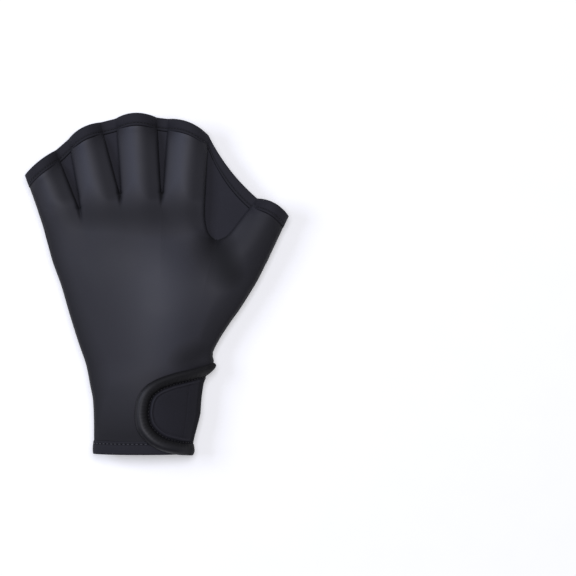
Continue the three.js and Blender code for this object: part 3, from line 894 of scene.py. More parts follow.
@dataclass
class Finishes:
    """All the finishes of the glove."""

    jersey: bpy.types.Material
    web: bpy.types.Material
    hem: bpy.types.Material
    strap: bpy.types.Material
    binding: bpy.types.Material
    thread: bpy.types.Material
    dark_thread: bpy.types.Material
    hook: bpy.types.Material

    @classmethod
    def make(cls) -> "Finishes":
        """Build every finish once."""
        return cls(
            jersey=KnitFinish("black_jersey", (0.0245, 0.024, 0.0305), (0.0195, 0.0192, 0.0245),
                              roughness=0.53, specular=0.38, painted_highlight_hue=(0.95, 1.02, 1.13)).make(),
            web=KnitFinish("black_web_jersey", (0.022, 0.0218, 0.027), (0.0172, 0.017, 0.021),
                           roughness=0.8, specular=0.1).make(),
            hem=KnitFinish("black_hem_jersey", (0.0178, 0.0176, 0.022), (0.014, 0.0138, 0.017),
                           roughness=0.75, specular=0.14).make(),
            strap=KnitFinish("black_loop_cloth", (0.0222, 0.0218, 0.0276), (0.0165, 0.0162, 0.02),
                             roughness=0.66, specular=0.14, fuzz_and_far_side_shade=1.4, rib=0.9).make(),
            binding=KnitFinish("black_binding", (0.0085, 0.0084, 0.0104), (0.0058, 0.0057, 0.0072),
                               roughness=0.5, specular=0.36).make(),
            thread=ThreadFinish("grey_thread", (0.06, 0.06, 0.07)).make(),
            dark_thread=ThreadFinish("black_thread", (0.005, 0.005, 0.006)).make(),
            hook=KnitFinish("hook_tape", (0.012, 0.012, 0.013), (0.006, 0.006, 0.007),
                            fuzz_and_far_side_shade=2.0, rib=1.2).make(),
        )


# Stitches


@dataclass
class StitchRow:
    """A row of stitches along a line, made by a node tree."""

    name: str
    points: np.ndarray
    pitch: float = 2.6
    stitch: float = 1.7
    thread: float = 0.32
    cyclic: bool = False

    def tree(self, material: bpy.types.Material) -> tuple[bpy.types.NodeTree, dict]:
        """Build the node tree that lays one stitch at every pitch.

        Args:
            material: the thread's finish.

        Returns:
            The tree and its sizes by socket identifier.
        """
        tree = bpy.data.node_groups.new(self.name + "_tree", "GeometryNodeTree")
        face = tree.interface
        face.new_socket("Geometry", in_out="INPUT", socket_type="NodeSocketGeometry")
        wanted = {"Pitch": self.pitch, "Stitch Length": self.stitch, "Thread Radius": self.thread}
        sizes = {}
        for label, value in wanted.items():
            socket = face.new_socket(label, in_out="INPUT", socket_type="NodeSocketFloat")
            sizes[socket.identifier] = value * MM
        face.new_socket("Geometry", in_out="OUTPUT", socket_type="NodeSocketGeometry")
        graph = Graph(tree)
        start = graph.add("NodeGroupInput").outputs
        line = {"Curve": start["Geometry"], "Length": start["Pitch"]}
        along = graph.add("GeometryNodeCurveToPoints", line, mode="LENGTH").outputs
        ball = graph.add("GeometryNodeMeshUVSphere", {"Segments": 7, "Rings": 5, "Radius": 1.0})
        halved = {0: start["Stitch Length"], 1: 0.5}
        half = graph.add("ShaderNodeMath", halved, operation="MULTIPLY").outputs[0]
        thread = start["Thread Radius"]
        scale = graph.add("ShaderNodeCombineXYZ", {0: thread, 1: thread, 2: half})
        tangent = {"Vector": along["Tangent"]}
        turn = graph.add("FunctionNodeAlignRotationToVector", tangent, axis="Z")
        laid = {
            "Points": along["Points"],
            "Instance": ball.outputs["Mesh"],
            "Rotation": turn.outputs["Rotation"],
            "Scale": scale.outputs[0],
        }
        lay = graph.add("GeometryNodeInstanceOnPoints", laid).outputs["Instances"]
        real = graph.add("GeometryNodeRealizeInstances", {"Geometry": lay}).outputs["Geometry"]
        smooth = graph.add("GeometryNodeSetShadeSmooth", {0: real}).outputs[0]
        dressed = {"Geometry": smooth, "Material": material}
        dress = graph.add("GeometryNodeSetMaterial", dressed).outputs["Geometry"]
        graph.add("NodeGroupOutput", {"Geometry": dress})
        return tree, sizes

    def build(self, shop: Workshop, material: bpy.types.Material, slot: str) -> bpy.types.Object:
        """Lay the stitches and bake them into one mesh.

        Args:
            shop: makes and places the object.
            material: the thread's finish.
            slot: not used.

        Returns:
            The finished stitches.
        """
        line = bpy.data.curves.new(self.name + "_line", "CURVE")
        line.dimensions = "3D"
        spline = line.splines.new("POLY")
        places = shop.place.to_metres(self.points)
        spline.points.add(len(places) - 1)
        flat = np.concatenate([places, np.ones((len(places), 1))], axis=1)
        spline.points.foreach_set("co", flat.reshape(-1))
        spline.use_cyclic_u = self.cyclic
        carrier = bpy.data.objects.new(self.name + "_carrier", line)
        shop.collection.objects.link(carrier)
        modifier = carrier.modifiers.new("stitches", "NODES")
        tree, sizes = self.tree(material)
        modifier.node_group = tree
        for identifier, value in sizes.items():
            modifier[identifier] = value
        graph = bpy.context.evaluated_depsgraph_get()
        mesh = bpy.data.meshes.new_from_object(carrier.evaluated_get(graph), depsgraph=graph)
        mesh.name = self.name
        if not mesh.materials:
            mesh.materials.append(material)
        bpy.data.objects.remove(carrier)
        made = bpy.data.objects.new(self.name, mesh)
        shop.collection.objects.link(made)
        return shop.finish_piece(made, slot)


# The panels

# Bands of painted shade: the knuckle valley, the valley at the thumb's base, beside the thumb's crotch and
# along the pucker crease above the strap.
PAINTED_SHADE_BANDS = [
    Mark(-4.0, 157.0, 0.02, 60.0, 15.0, 0.68),
    Mark(52.0, 127.0, -1.1, 25.0, 15.5, 1.0),
    Mark(46.0, 138.0, 0.3, 11.0, 7.0, 0.85),
    Mark(41.0, 68.0, 0.45, 26.0, 10.0, 0.85),
]
CREASES = {
    Half.BACK: [
        Mark(-26.0, 152.0, 0.25, 20.0, 8.0, -0.3),
        Mark(4.0, 158.0, 0.02, 22.0, 8.0, -0.35),
        Mark(28.0, 154.0, -0.25, 14.0, 8.0, -0.3),
        Mark(51.0, 127.0, -1.1, 20.0, 10.0, -1.9),
        Mark(38.0, 66.0, 0.5, 9.0, 1.6, 0.6),
        Mark(36.0, 70.0, 0.55, 9.0, 1.8, -0.5),
    ],
    Half.PALM: [
        Mark(-26.0, 150.0, 0.25, 20.0, 4.5, -0.5),
        Mark(28.0, 152.0, -0.25, 14.0, 5.0, -0.5),
    ],
}


@dataclass(frozen=True)
class ShellPaintedShade:
    """Painted shade on the shell: darker and more matt in valleys, along the outline, beside the webs,
    towards the cuff and on each finger's side away from the light, with a painted highlight on the fingers
    and the middle of the back.
    """

    plain: float = 0.36
    plain_from: float = 168.0
    plain_reach: float = 14.0
    gloss_x: float = 12.0
    gloss_y: float = 104.0
    gloss_wide: float = 24.0
    gloss_long: float = 58.0
    gloss_share: float = 0.8
    edge: float = 0.95
    edge_reach: float = 12.0
    wrist_reach: float = 16.0
    finger_reach: float = 6.0
    wrist_to: float = 60.0
    wrist_fade: float = 50.0
    finger_from: float = 140.0
    finger_fade: float = 20.0
    thumb: float = 0.62
    thumb_flank: float = 1.5
    thumb_share: float = 0.4
    thumb_from: float = 96.0
    thumb_reach: float = 34.0
    fuzz_and_far_side_shade: float = 0.62
    far_side_shade_from: float = 0.38
    far_side_shade_reach: float = 0.34
    seam: float = 0.9
    seam_from: float = 150.0
    seam_fade: float = 18.0
    seam_reach: float = 3.5
    cuff: float = 0.85
    cuff_from: float = 74.0
    cuff_fade: float = 62.0

    def depths(self, tube: int, grid: np.ndarray, shares: np.ndarray) -> np.ndarray:
        """How much painted shade the cloth has, 0 to 1.

        Args:
            tube: the tube's number.
            grid: its outer points.
            shares: shares across it.

        Returns:
            A value for each point.
        """
        x, y = grid[..., 0], grid[..., 1]
        width = np.linalg.norm(grid[:, -1, :2] - grid[:, 0, :2], axis=-1)[:, None]
        from_left, from_right = shares[None, :] * width, (1 - shares[None, :]) * width
        # Painted shade over the hand below the fingers, so that the fingers show a painted highlight.
        deep = rising(y, self.plain_from, -self.plain_reach) * self.plain
        # A painted highlight in the middle of the back, where the shade is eased off.
        off_x, off_y = (x - self.gloss_x) / self.gloss_wide, (y - self.gloss_y) / self.gloss_long
        deep = deep * (1 - self.gloss_share * np.exp(-(off_x**2) - off_y**2))
        # Painted shade along the outline, on the little finger's side and on the thumb's outer flank.
        reach = mix(self.wrist_reach, self.edge_reach, rising(y, self.wrist_to, self.wrist_fade))
        if tube == 0:
            reach = mix(reach, self.finger_reach, rising(y, self.finger_from, self.finger_fade))
            deep = np.maximum(deep, self.edge * np.exp(-from_left / reach))
        if tube == len(TUBES) - 1:
            outward = rising(shares, 0.0, self.thumb_share)[None, :]
            flank = np.exp(-from_right / (reach * self.thumb_flank)) * outward
            deep = np.maximum(deep, self.edge * flank)
            # More painted shade on the thumb's outer part, from its base upwards.
            onward = rising(y, self.thumb_from, self.thumb_reach)
            deep = deep + (self.thumb - self.plain) * outward * onward * (1 - deep)
        else:
            # Painted shade on each finger's side away from the light, above the crotches.
            far_side = rising(shares, self.far_side_shade_from, self.far_side_shade_reach)[None, :]
            parted = rising(y, self.plain_from - self.plain_reach, self.plain_reach)
            deep = np.maximum(deep, self.fuzz_and_far_side_shade * far_side * parted)
        # Painted shade beside the seams to the webs.
        above = rising(y, self.seam_from, self.seam_fade)
        from_seam = np.minimum(from_left, from_right)
        deep = np.maximum(deep, self.seam * above * np.exp(-from_seam / self.seam_reach))
        # Painted shade towards the cuff and in the bands of painted shade.
        deep = np.maximum(deep, self.cuff * rising(y, self.cuff_from, -self.cuff_fade))
        for band in PAINTED_SHADE_BANDS:
            u, v = band.shares(x, y)
            deep = np.maximum(deep, band.strength * np.exp(-(u**4) - v**2))
        return np.clip(deep, 0, 1)


@dataclass
class Panel:
    """One half of the shell, from cuff to finger edge."""

    form: GloveForm
    half: Half
    per_row: int = 6
    columns: int = 26
    spread: float = 3.6
    spread_along: float = 6.0
    spread_last: float = 4.5
    let_go: float = 0.5
    bend_spread: float = 4.0
    bend_rows: float = 1.6
    bend_share: float = 3.0
    passes: int = 3
    crotch_hold: float = 1.2
    flank_swell: float = 1.1
    flank_place: float = 0.07
    edge_hold: float = 9.0
    edge_ease: float = 9.0
    low_hold: float = 2.0
    low_ease: float = 5.0
    cuff_hold: float = 24.0
    cuff_ease: float = 8.0
    crotch_still: float = 1.0
    full_height: float = 6.0
    wave_rise: float = 0.22
    wave_start: float = 0.6
    wave_turns: tuple[float, float] = (0.071, 0.05)
    cross_turns: tuple[float, float] = (-0.03, 0.043)
    painted_cloth_shade: ShellPaintedShade = ShellPaintedShade()

    def name(self) -> str:
        """The piece's name."""
        return "back_shell" if self.half is Half.BACK else "palm_shell"

    def relief(self, plan: np.ndarray) -> np.ndarray:
        """Soft waves and creases that the cloth has over its main form.

        Args:
            plan: plan points in millimetres.

        Returns:
            Rises in millimetres.
        """
        x, y = plan[..., 0], plan[..., 1]
        (wave_x, wave_y), (cross_x, cross_y) = self.wave_turns, self.cross_turns
        wave = np.sin(wave_x * x + wave_y * y + self.wave_start) * np.sin(cross_y * y + cross_x * x)
        rise = self.wave_rise * wave
        for crease in CREASES[self.half]:
            u, v = crease.shares(x, y)
            rise = rise + crease.strength * np.exp(-(u**2) - v**2)
        return rise

    def tube_grids(self, tube: int, rows: np.ndarray, shares: np.ndarray) -> tuple[np.ndarray, np.ndarray]:
        """Outer and inner points of one tube.

        Args:
            tube: the tube's number.
            rows: places along the rows.
            shares: shares across the tube.

        Returns:
            Two arrays of rows by shares by three.
        """
        form = self.form
        plan = form.plan_grid(rows, tube, shares)
        swollen = self.eased_plan(plan, rows, tube, shares) + self.swell(rows, tube, shares)
        height = form.height(rows, tube, shares, self.half)
        ease = rising(height, 0.0, self.full_height)
        height = height + self.relief(plan) * ease
        outer = np.concatenate([swollen, form.level(height, self.half)[..., None]], axis=-1)
        left, right = tube, tube + 1
        width = np.linalg.norm(
            form.side_line(rows, tube, Side.RIGHT) - form.side_line(rows, tube, Side.LEFT), axis=-1
        )
        inset = form.inset / width
        left_in = np.where(self.open_at(rows, left) & ~self.crotch_at(rows, left), inset, 0.0)
        right_in = np.where(self.open_at(rows, right) & ~self.crotch_at(rows, right), inset, 0.0)
        inside = mix(left_in[:, None], 1 - right_in[:, None], shares[None, :])
        inner_plan = form.plan_grid(rows, tube, inside)
        depth = np.maximum(0.0, form.height(rows, tube, inside, self.half) - form.wall)
        depth[self.open_at(rows, left), 0] = 0.0
        depth[self.open_at(rows, right), -1] = 0.0
        for line, column in ((left, 0), (right, -1)):
            at = np.flatnonzero(self.crotch_at(rows, line))
            for row in at:
                back = form.shared[line].at(np.array([rows[row] - 1.0]))[0] - inner_plan[row, column]
                inner_plan[row, column] += unit(back) * form.inset
        inner = np.concatenate([inner_plan, form.level(depth, self.half)[..., None]], axis=-1)
        return flat_ground(outer), flat_ground(inner)

    def eased_plan(self, plan: np.ndarray, rows: np.ndarray, tube: int, shares: np.ndarray) -> np.ndarray:
        """Round the bend that the cloth's lines make beside the thumb's crotch.

        Args:
            plan: plan points, rows by shares by two.
            rows: places along the rows.
            tube: the tube's number.
            shares: shares across the tube.

        Returns:
            New plan points, with both side lines kept.
        """
        lines = plan.reshape(len(rows), -1).T
        even = np.array([smoothed(line, self.bend_spread) for line in lines]).T.reshape(plan.shape)
        near = np.exp(-(((rows - THUMB_CROTCH_ROW) / self.bend_rows) ** 2))
        towards = shares if tube == THUMB_WEB else 1 - shares
        inside = self.bend_share * towards**1.5 * np.sqrt(1 - towards)
        if tube < THUMB_WEB:
            return plan
        return mix(plan, even, near[:, None, None] * inside[None, :, None])

    def swell(self, rows: np.ndarray, tube: int, shares: np.ndarray) -> np.ndarray:
        """Sideways swell of a tube's flanks over the webs beside it.

        Args:
            rows: places along the rows.
            tube: the tube's number.
            shares: shares across the tube.

        Returns:
            Plan shifts in millimetres, rows by shares by two.
        """
        form = self.form
        across = form.side_line(rows, tube, Side.RIGHT) - form.side_line(rows, tube, Side.LEFT)
        push = np.zeros((len(rows), len(shares)))
        for line, place, way in ((tube, shares, -1.0), (tube + 1, 1 - shares, 1.0)):
            if line in (0, len(TUBES)):
                continue
            risen = np.clip(rows - form.crotch_row(line), 0, 1) * np.clip(EDGE_ROW - rows, 0, 1)
            flank = place / self.flank_place * np.exp(1 - place / self.flank_place)
            push += way * self.flank_swell * risen[:, None] * flank[None, :]
        return unit(across)[:, None, :] * push[..., None]

    def open_at(self, rows: np.ndarray, line: int) -> np.ndarray:
        """Whether a tube's side is open to a web or to the outside at each row."""
        if line in (0, len(TUBES)):
            return np.ones(len(rows), dtype=bool)
        return rows >= self.form.crotch_row(line) - 1e-6

    def crotch_at(self, rows: np.ndarray, line: int) -> np.ndarray:
        """Whether each row is exactly the crotch of a line."""
        if line in (0, len(TUBES)):
            return np.zeros(len(rows), dtype=bool)
        return np.abs(rows - self.form.crotch_row(line)) < 1e-6

    def soften(self, grids: list, rows: np.ndarray) -> None:
        """Round off the valleys of the outer surface as stretched cloth would.

        Args:
            grids: outer points of every tube, changed in place.
            rows: places along the rows.
        """
        joined = np.stack(grids, axis=1)
        holds = self.hold(joined)
        for _ in range(self.passes):
            lines = joined.reshape(len(rows), -1, 3).transpose(1, 0, 2)
            even = evened(lines, self.spread_along).T.reshape(joined.shape[:3])
            joined[..., 2] = mix(even, joined[..., 2], holds)
            self.weld(joined, rows)
            joined[..., 2] = mix(self.across(joined, rows), joined[..., 2], holds)
        lines = joined.reshape(len(rows), -1, 3).transpose(1, 0, 2)
        even = evened(lines, self.spread_last).T.reshape(joined.shape[:3])
        joined[..., 2] = mix(even, joined[..., 2], holds)
        self.weld(joined, rows)
        for tube, grid in enumerate(grids):
            grid[..., 2] = joined[:, tube, :, 2]

    def weld(self, joined: np.ndarray, rows: np.ndarray) -> None:
        """Give neighbouring tubes one height along the line that they share.

        Args:
            joined: points, rows by tubes by shares by three, changed in place.
            rows: places along the rows.
        """
        for line in range(1, len(TUBES)):
            last = int(np.searchsorted(rows, self.form.crotch_row(line) + 1e-6))
            level = (joined[:last, line - 1, -1, 2] + joined[:last, line, 0, 2]) / 2
            joined[:last, line - 1, -1, 2] = level
            joined[:last, line, 0, 2] = level

    def across(self, joined: np.ndarray, rows: np.ndarray) -> np.ndarray:
        """Smooth heights across the tubes that hang together, easing off below the thumb's crotch.

        Args:
            joined: points, rows by tubes by shares by three.
            rows: places along the rows.

        Returns:
            The new heights, rows by tubes by shares.
        """
        thumb = int(np.searchsorted(rows, THUMB_CROTCH_ROW - 1e-6))
        finger = int(np.searchsorted(rows, FINGER_CROTCH_ROW - 1e-6))
        count = len(TUBES)
        even = joined[..., 2].copy()
        parts = [(0, count - 1, 0, finger), (count - 1, count, 0, len(rows))]
        parts += [(tube, tube + 1, finger, len(rows)) for tube in range(count - 1)]
        for first, last, low, high in parts:
            even[low:high, first:last] = self.even_block(joined[low:high, first:last])
        grip = np.clip((THUMB_CROTCH_ROW - rows[:thumb]) / self.let_go, 0, 1)[:, None, None]
        even[:thumb] = mix(even[:thumb], self.even_block(joined[:thumb]), grip)
        return even

    def even_block(self, block: np.ndarray) -> np.ndarray:
        """Smooth heights across a few tubes, rows by tubes by shares."""
        flat = block.reshape(len(block), -1, 3)
        return evened(flat, self.spread).reshape(block.shape[:3])

    def hold(self, points: np.ndarray) -> np.ndarray:
        """How firmly the seams hold the cloth, from 0 free to 1 fixed, at each point."""
        height = np.abs(points[..., 2] - self.form.palm_depth)
        held = np.clip(1 - (height - self.low_hold) / self.low_ease, 0, 1)
        held = np.maximum(held, rising(points[..., 1], self.cuff_hold, -self.cuff_ease))
        to_edge = np.linalg.norm(points[..., :2] - points[-1:, ..., :2], axis=-1)
        held = np.maximum(held, np.clip(1 - (to_edge - self.edge_hold) / self.edge_ease, 0, 1))
        for crotch in CROTCHES:
            away = np.linalg.norm(points[..., :2] - self.form.plan(crotch), axis=-1)
            held = np.maximum(held, np.clip(1 - (away - self.crotch_still) / self.crotch_hold, 0, 1))
        return held

    def build(self, shop: Workshop, finish: bpy.types.Material) -> bpy.types.Object:
        """Make the shell.

        Args:
            shop: makes and places the object.
            finish: the cloth.

        Returns:
            The finished piece.
        """
        rows = row_places(0, EDGE_ROW, self.per_row)
        shares = column_shares(self.columns)
        pairs = [self.tube_grids(tube, rows, shares) for tube in range(len(TUBES))]
        outers, inners = [pair[0] for pair in pairs], [pair[1] for pair in pairs]
        before = [grid[..., 2].copy() for grid in outers]
        self.soften(outers, rows)
        for grid, old, inner in zip(outers, before, inners):
            inner[..., 2] += grid[..., 2] - old
        size = len(rows) * len(shares)
        cells = grid_quads(len(rows), len(shares))
        quads = np.concatenate([cells + size * tube for tube in range(len(TUBES))])
        outer = np.concatenate([grid.reshape(-1, 3) for grid in outers])
        inner = np.concatenate([grid.reshape(-1, 3) for grid in inners])
        coords = np.concatenate([self.cloth_coords(grid) for grid in outers])
        depths = [self.painted_cloth_shade.depths(tube, grid, shares) for tube, grid in enumerate(outers)]
        deep = np.concatenate([depth.reshape(-1) for depth in depths])
        keys = np.round(outer, 3)
        _, first, back = np.unique(keys, axis=0, return_index=True, return_inverse=True)
        quads = back.reshape(-1)[quads]
        points, faces = shell(outer[first], inner[first], quads, self.half is Half.PALM)
        node = "back_panel" if self.half is Half.BACK else "palm_panel"
        piece = shop.solid(self.name(), points, faces, finish, np.tile(coords[first], (2, 1)))
        shop.painted_shade(piece, np.tile(deep[first], 2))
        return shop.finish_piece(piece, "jersey", node)

    @staticmethod
    def cloth_coords(grid: np.ndarray) -> np.ndarray:
        """Cloth coordinates in millimetres, measured over the surface from its middle."""
        steps = np.linalg.norm(np.diff(grid, axis=1), axis=-1)
        run = np.concatenate([np.zeros((len(grid), 1)), np.cumsum(steps, axis=1)], axis=1)
        middle = grid.shape[1] // 2
        across = run - run[:, middle : middle + 1] + grid[:, middle : middle + 1, 0]
        return np.stack([across, grid[..., 1]], axis=-1).reshape(-1, 2)


# The webs


@dataclass
class Web:
    """A web between two tubes: a thin sheet in the middle plane."""

    form: GloveForm
    tube: int
    name: str
    node: str
    tuck: float = 1.4
    start_tuck: float = 1.1
    start_row: float = 0.08
    sag: float = 0.35
    gather_rise: float = 0.05
    gather_count: float = 11.0
    gather_reach: float = 9.0
    gather_x: float = 48.0
    gather_y: float = 141.0
    gather_focus: float = 152.0
    ripple_rise: float = 0.3
    ripple_turns: tuple[float, float] = (6.0, 3.0)
    seam_ease: float = 14.0
    across: int = 14
    per_row: int = 6
    tuck_ease: float = 2.0
    least_tuck: float = 0.15

    def edges(self, rows: np.ndarray) -> tuple[np.ndarray, np.ndarray]:
        """The web's two side lines, tucked a little into the tubes' seams.

        Args:
            rows: places along the rows.

        Returns:
            Plan points of the left and the right line.
        """
        form = self.form
        left = form.side_line(rows, self.tube, Side.RIGHT)
        right = form.side_line(rows, self.tube + 1, Side.LEFT)
        along_left = unit(np.gradient(left, axis=0))
        along_right = unit(np.gradient(right, axis=0))
        eased = np.clip((rows - rows[0]) * self.tuck_ease, self.least_tuck, 1.0)
        tuck = self.tuck * eased[:, None]
        left = left + square(along_left) * tuck
        right = right - square(along_right) * tuck
        return left, right

    def sheet_grid(self) -> np.ndarray:
        """Plan points of the web, rows by shares by two."""
        first = self.form.crotch_row(self.tube + 1)
        rows = row_places(first, EDGE_ROW, self.per_row)
        rows[0] = first + self.start_row
        left, right = self.edges(rows)
        rise = (rows - first) / (EDGE_ROW - first)
        bow = (self.form.thumb_web_bulge * self.form.length if self.tube == THUMB_WEB else 0.0) * rise**2
        shares = np.linspace(0, 1, self.across + 1)
        across = unit(right - left)[:, None, :]
        grid = mix(left[:, None, :], right[:, None, :], shares[None, :, None])
        grid[0] -= unit(grid[1].mean(axis=0) - grid[0].mean(axis=0)) * self.start_tuck
        return grid + square(across) * bow[:, None, None] * (4 * shares * (1 - shares))[None, :, None]

    def build(self, shop: Workshop, finish: bpy.types.Material) -> bpy.types.Object:
        """Make the web with a slight sag and small gathers along its seam.

        Args:
            shop: makes and places the object.
            finish: the cloth.

        Returns:
            The finished piece.
        """
        form = self.form
        plan = self.sheet_grid()
        rows, columns = plan.shape[:2]
        u = np.linspace(0, 1, columns)[None, :]
        v = np.linspace(0, 1, rows)[:, None]
        side = np.minimum(u, 1 - u)
        sag = -self.sag * np.sin(np.pi * u) * np.sin(np.pi * v)
        gather = 0.0
        if self.tube == THUMB_WEB:
            off_x = plan[..., 0] - self.gather_x
            angle = np.arctan2(plan[..., 1] - self.gather_focus, off_x)
            near = np.exp(-(np.hypot(off_x, plan[..., 1] - self.gather_y) / self.gather_reach) ** 2)
            turn_u, turn_v = self.ripple_turns
            ripple = self.ripple_rise * np.sin(u * turn_u + v * turn_v) * np.sin(np.pi * v)
            gather = self.gather_rise * np.sin(angle * self.gather_count) * near + ripple
        lift = sag + gather * np.clip(side * self.seam_ease, 0, 1)
        upper = form.palm_depth + form.web / 2 + lift
        lower = form.palm_depth - form.web / 2 + lift
        outer = np.concatenate([plan, upper[..., None]], axis=-1).reshape(-1, 3)
        inner = np.concatenate([plan, lower[..., None]], axis=-1).reshape(-1, 3)
        points, faces = shell(outer, inner, grid_quads(rows, columns), False)
        coords = np.concatenate([outer[:, :2], inner[:, :2]])
        piece = shop.solid(self.name, points, faces, finish, coords)
        return shop.finish_piece(piece, "web_sheet", self.node)

    @staticmethod
    def cut(plan: np.ndarray) -> tuple[float, float, float]:
        """The web's flat size.

        Args:
            plan: plan points, rows by shares by two.

        Returns:
            Its width, length and area in metres.
        """
        cross = plan[1:, 1:] - plan[:-1, :-1]
        other = plan[:-1, 1:] - plan[1:, :-1]
        area = float(np.abs(cross[..., 0] * other[..., 1] - cross[..., 1] * other[..., 0]).sum() / 2)
        across = unit(plan[-1, -1] - plan[-1, 0])
        flat = plan.reshape(-1, 2)
        width, length = np.ptp(flat @ across), np.ptp(flat @ square(across))
        return float(width) * MM, float(length) * MM, area * MM * MM


# The finger-edge hem


@dataclass
class FingerHem:
    """The turned and stitched band along the whole finger edge, on one half."""

    form: GloveForm
    half: Half
    width: float = 6.8
    thick: float = 0.9
    gap: float = 0.15
    step: float = 0.5
    steepest: float = 2.2
    stitch_pitch: float = 2.2
    stitch_inset: float = 1.4
    gather_rise: float = 0.12
    end_reach: float = 0.25
    end_level: float = 0.02
    hollow_spread: float = 3.0
    turn_spread: float = 4.0
    groove_shade: float = 0.5
    tuck_shade: float = 0.6
    cloth_pitch: float = 0.7

    def stations(self) -> dict:
        """Sample the finger edge from the little finger's side to the thumb's.

        Returns:
            Arrays of edge points, back directions, surface heights and lip heights.
        """
        parts = []
        for tube in range(len(TUBES)):
            parts.append(self.tube_part(tube))
            if tube + 1 < len(TUBES):
                parts.append(self.web_part(tube))
        joined = {key: np.concatenate([part[key] for part in parts]) for key in parts[0]}
        return self.evenly(self.with_ends(joined))

    def tube_part(self, tube: int) -> dict:
        """Stations over one tube's end."""
        form = self.form
        shares = column_shares(EDGE_COLUMNS)
        rows = np.array([EDGE_ROW - 1.0, float(EDGE_ROW)])
        plan = form.plan_grid(rows, tube, shares)
        height = form.height(rows, tube, shares, self.half)
        back = plan[0] - plan[1]
        span = np.linalg.norm(back, axis=-1)
        steps = np.maximum(np.linalg.norm(np.gradient(plan[1], axis=0), axis=-1), 1e-6)
        slope = np.minimum(np.hypot(1.0, np.gradient(height[1]) / steps), self.steepest)
        flange = mix(height[1], height[0], np.minimum(1.0, self.width / span))
        floor = form.web / 2 + self.gap
        least = np.full(len(shares), floor)
        if tube == 0:
            least = np.where(shares < 0.5, self.gap, floor)
        if tube == len(TUBES) - 1:
            least = np.where(shares > 0.5, self.gap, floor)
        return {
            "edge": plan[1],
            "back": unit(back),
            "slope": slope,
            "base": np.maximum(least, height[1] + self.gap * slope),
            "flange": np.maximum(least, flange + self.gap * slope),
            "lip": np.maximum(0.0, height[1] - form.wall),
        }

    def web_part(self, tube: int) -> dict:
        """Stations over one web's end."""
        form = self.form
        rows = np.array([EDGE_ROW - 1.0, float(EDGE_ROW)])
        left = form.side_line(rows, tube, Side.RIGHT)
        right = form.side_line(rows, tube + 1, Side.LEFT)
        count = 60 if tube == THUMB_WEB else 16
        shares = np.linspace(0, 1, count)[1:-1]
        bow = form.thumb_web_bulge * form.length if tube == THUMB_WEB else 0.0
        across = unit(right[1] - left[1])
        edge = mix(left[1], right[1], shares[:, None])
        edge = edge + square(across) * (bow * 4 * shares * (1 - shares))[:, None]
        back = unit(mix(unit(left[0] - left[1]), unit(right[0] - right[1]), shares[:, None]))
        flat = np.full(len(shares), form.web / 2 + self.gap)
        zero = np.zeros(len(shares))
        return {
            "edge": edge,
            "back": back,
            "slope": zero + 1,
            "base": flat,
            "flange": flat.copy(),
            "lip": zero,
        }

    def with_ends(self, line: dict) -> dict:
        """Let the band run a little past the glove's two sides."""
        for at, after in ((0, 1), (-1, -2)):
            out = unit(line["edge"][at] - line["edge"][after])
            new = {
                "edge": line["edge"][at] + out * self.end_reach,
                "back": line["back"][at],
                "slope": 1.0,
                "base": self.end_level,
                "flange": self.end_level,
                "lip": 0.0,
            }
            for key, value in new.items():
                value = np.asarray(value, dtype=float)[None]
                pair = [value, line[key]] if at == 0 else [line[key], value]
                line[key] = np.concatenate(pair)
        return line

    def evenly(self, line: dict) -> dict:
        """Resample the stations at even steps and round off the band's hollows."""
        run = run_along(np.concatenate([line["edge"], line["base"][:, None]], axis=1))
        places = np.linspace(0, run[-1], int(run[-1] / self.step))
        out = {}
        for key, value in line.items():
            is_flat = value.ndim == 1
            out[key] = np.interp(places, run, value) if is_flat else read_along(value, run, places)
        for key in ("base", "flange"):
            out[key] = np.maximum(out[key], smoothed(out[key], self.hollow_spread))
        out["slope"] = smoothed(out["slope"], self.hollow_spread)
        out["back"] = unit(rounded(out["back"], self.turn_spread))
        out["run"] = places
        return out

    def place(self, line: dict, distance: float, height: np.ndarray) -> np.ndarray:
        """Points at a distance behind the edge and a height off the middle plane."""
        plan = line["edge"] + line["back"] * distance
        return np.concatenate([plan, self.form.level(height, self.half)[:, None]], axis=1)

    def profile(self) -> list[BandLine]:
        """The band's lines, from its inner edge over the stitch line to its front."""
        out = self.gap + self.thick
        return [
            # Painted shade: the tuck at the inner edge and the sunk stitch line are drawn darker.
            BandLine(self.width + 0.8, -0.1, 0.0, self.tuck_shade),
            BandLine(self.width + 0.4, 0.25, 0.0, self.tuck_shade),
            BandLine(self.width - 0.2, 0.52, 0.2),
            BandLine(self.width - 0.9, 0.6, 0.6),
            BandLine(self.width - self.stitch_inset, 0.18, 1.0, self.groove_shade),
            BandLine(self.width - 2.0, 0.66, 0.8),
            BandLine(self.width - 3.0, 0.88, 0.3),
            BandLine(1.8, 1.02),
            BandLine(0.6, 1.02),
            BandLine(-0.25 * out, 0.9),
            BandLine(-0.7 * out, 0.66),
            BandLine(-out, 0.2),
        ]

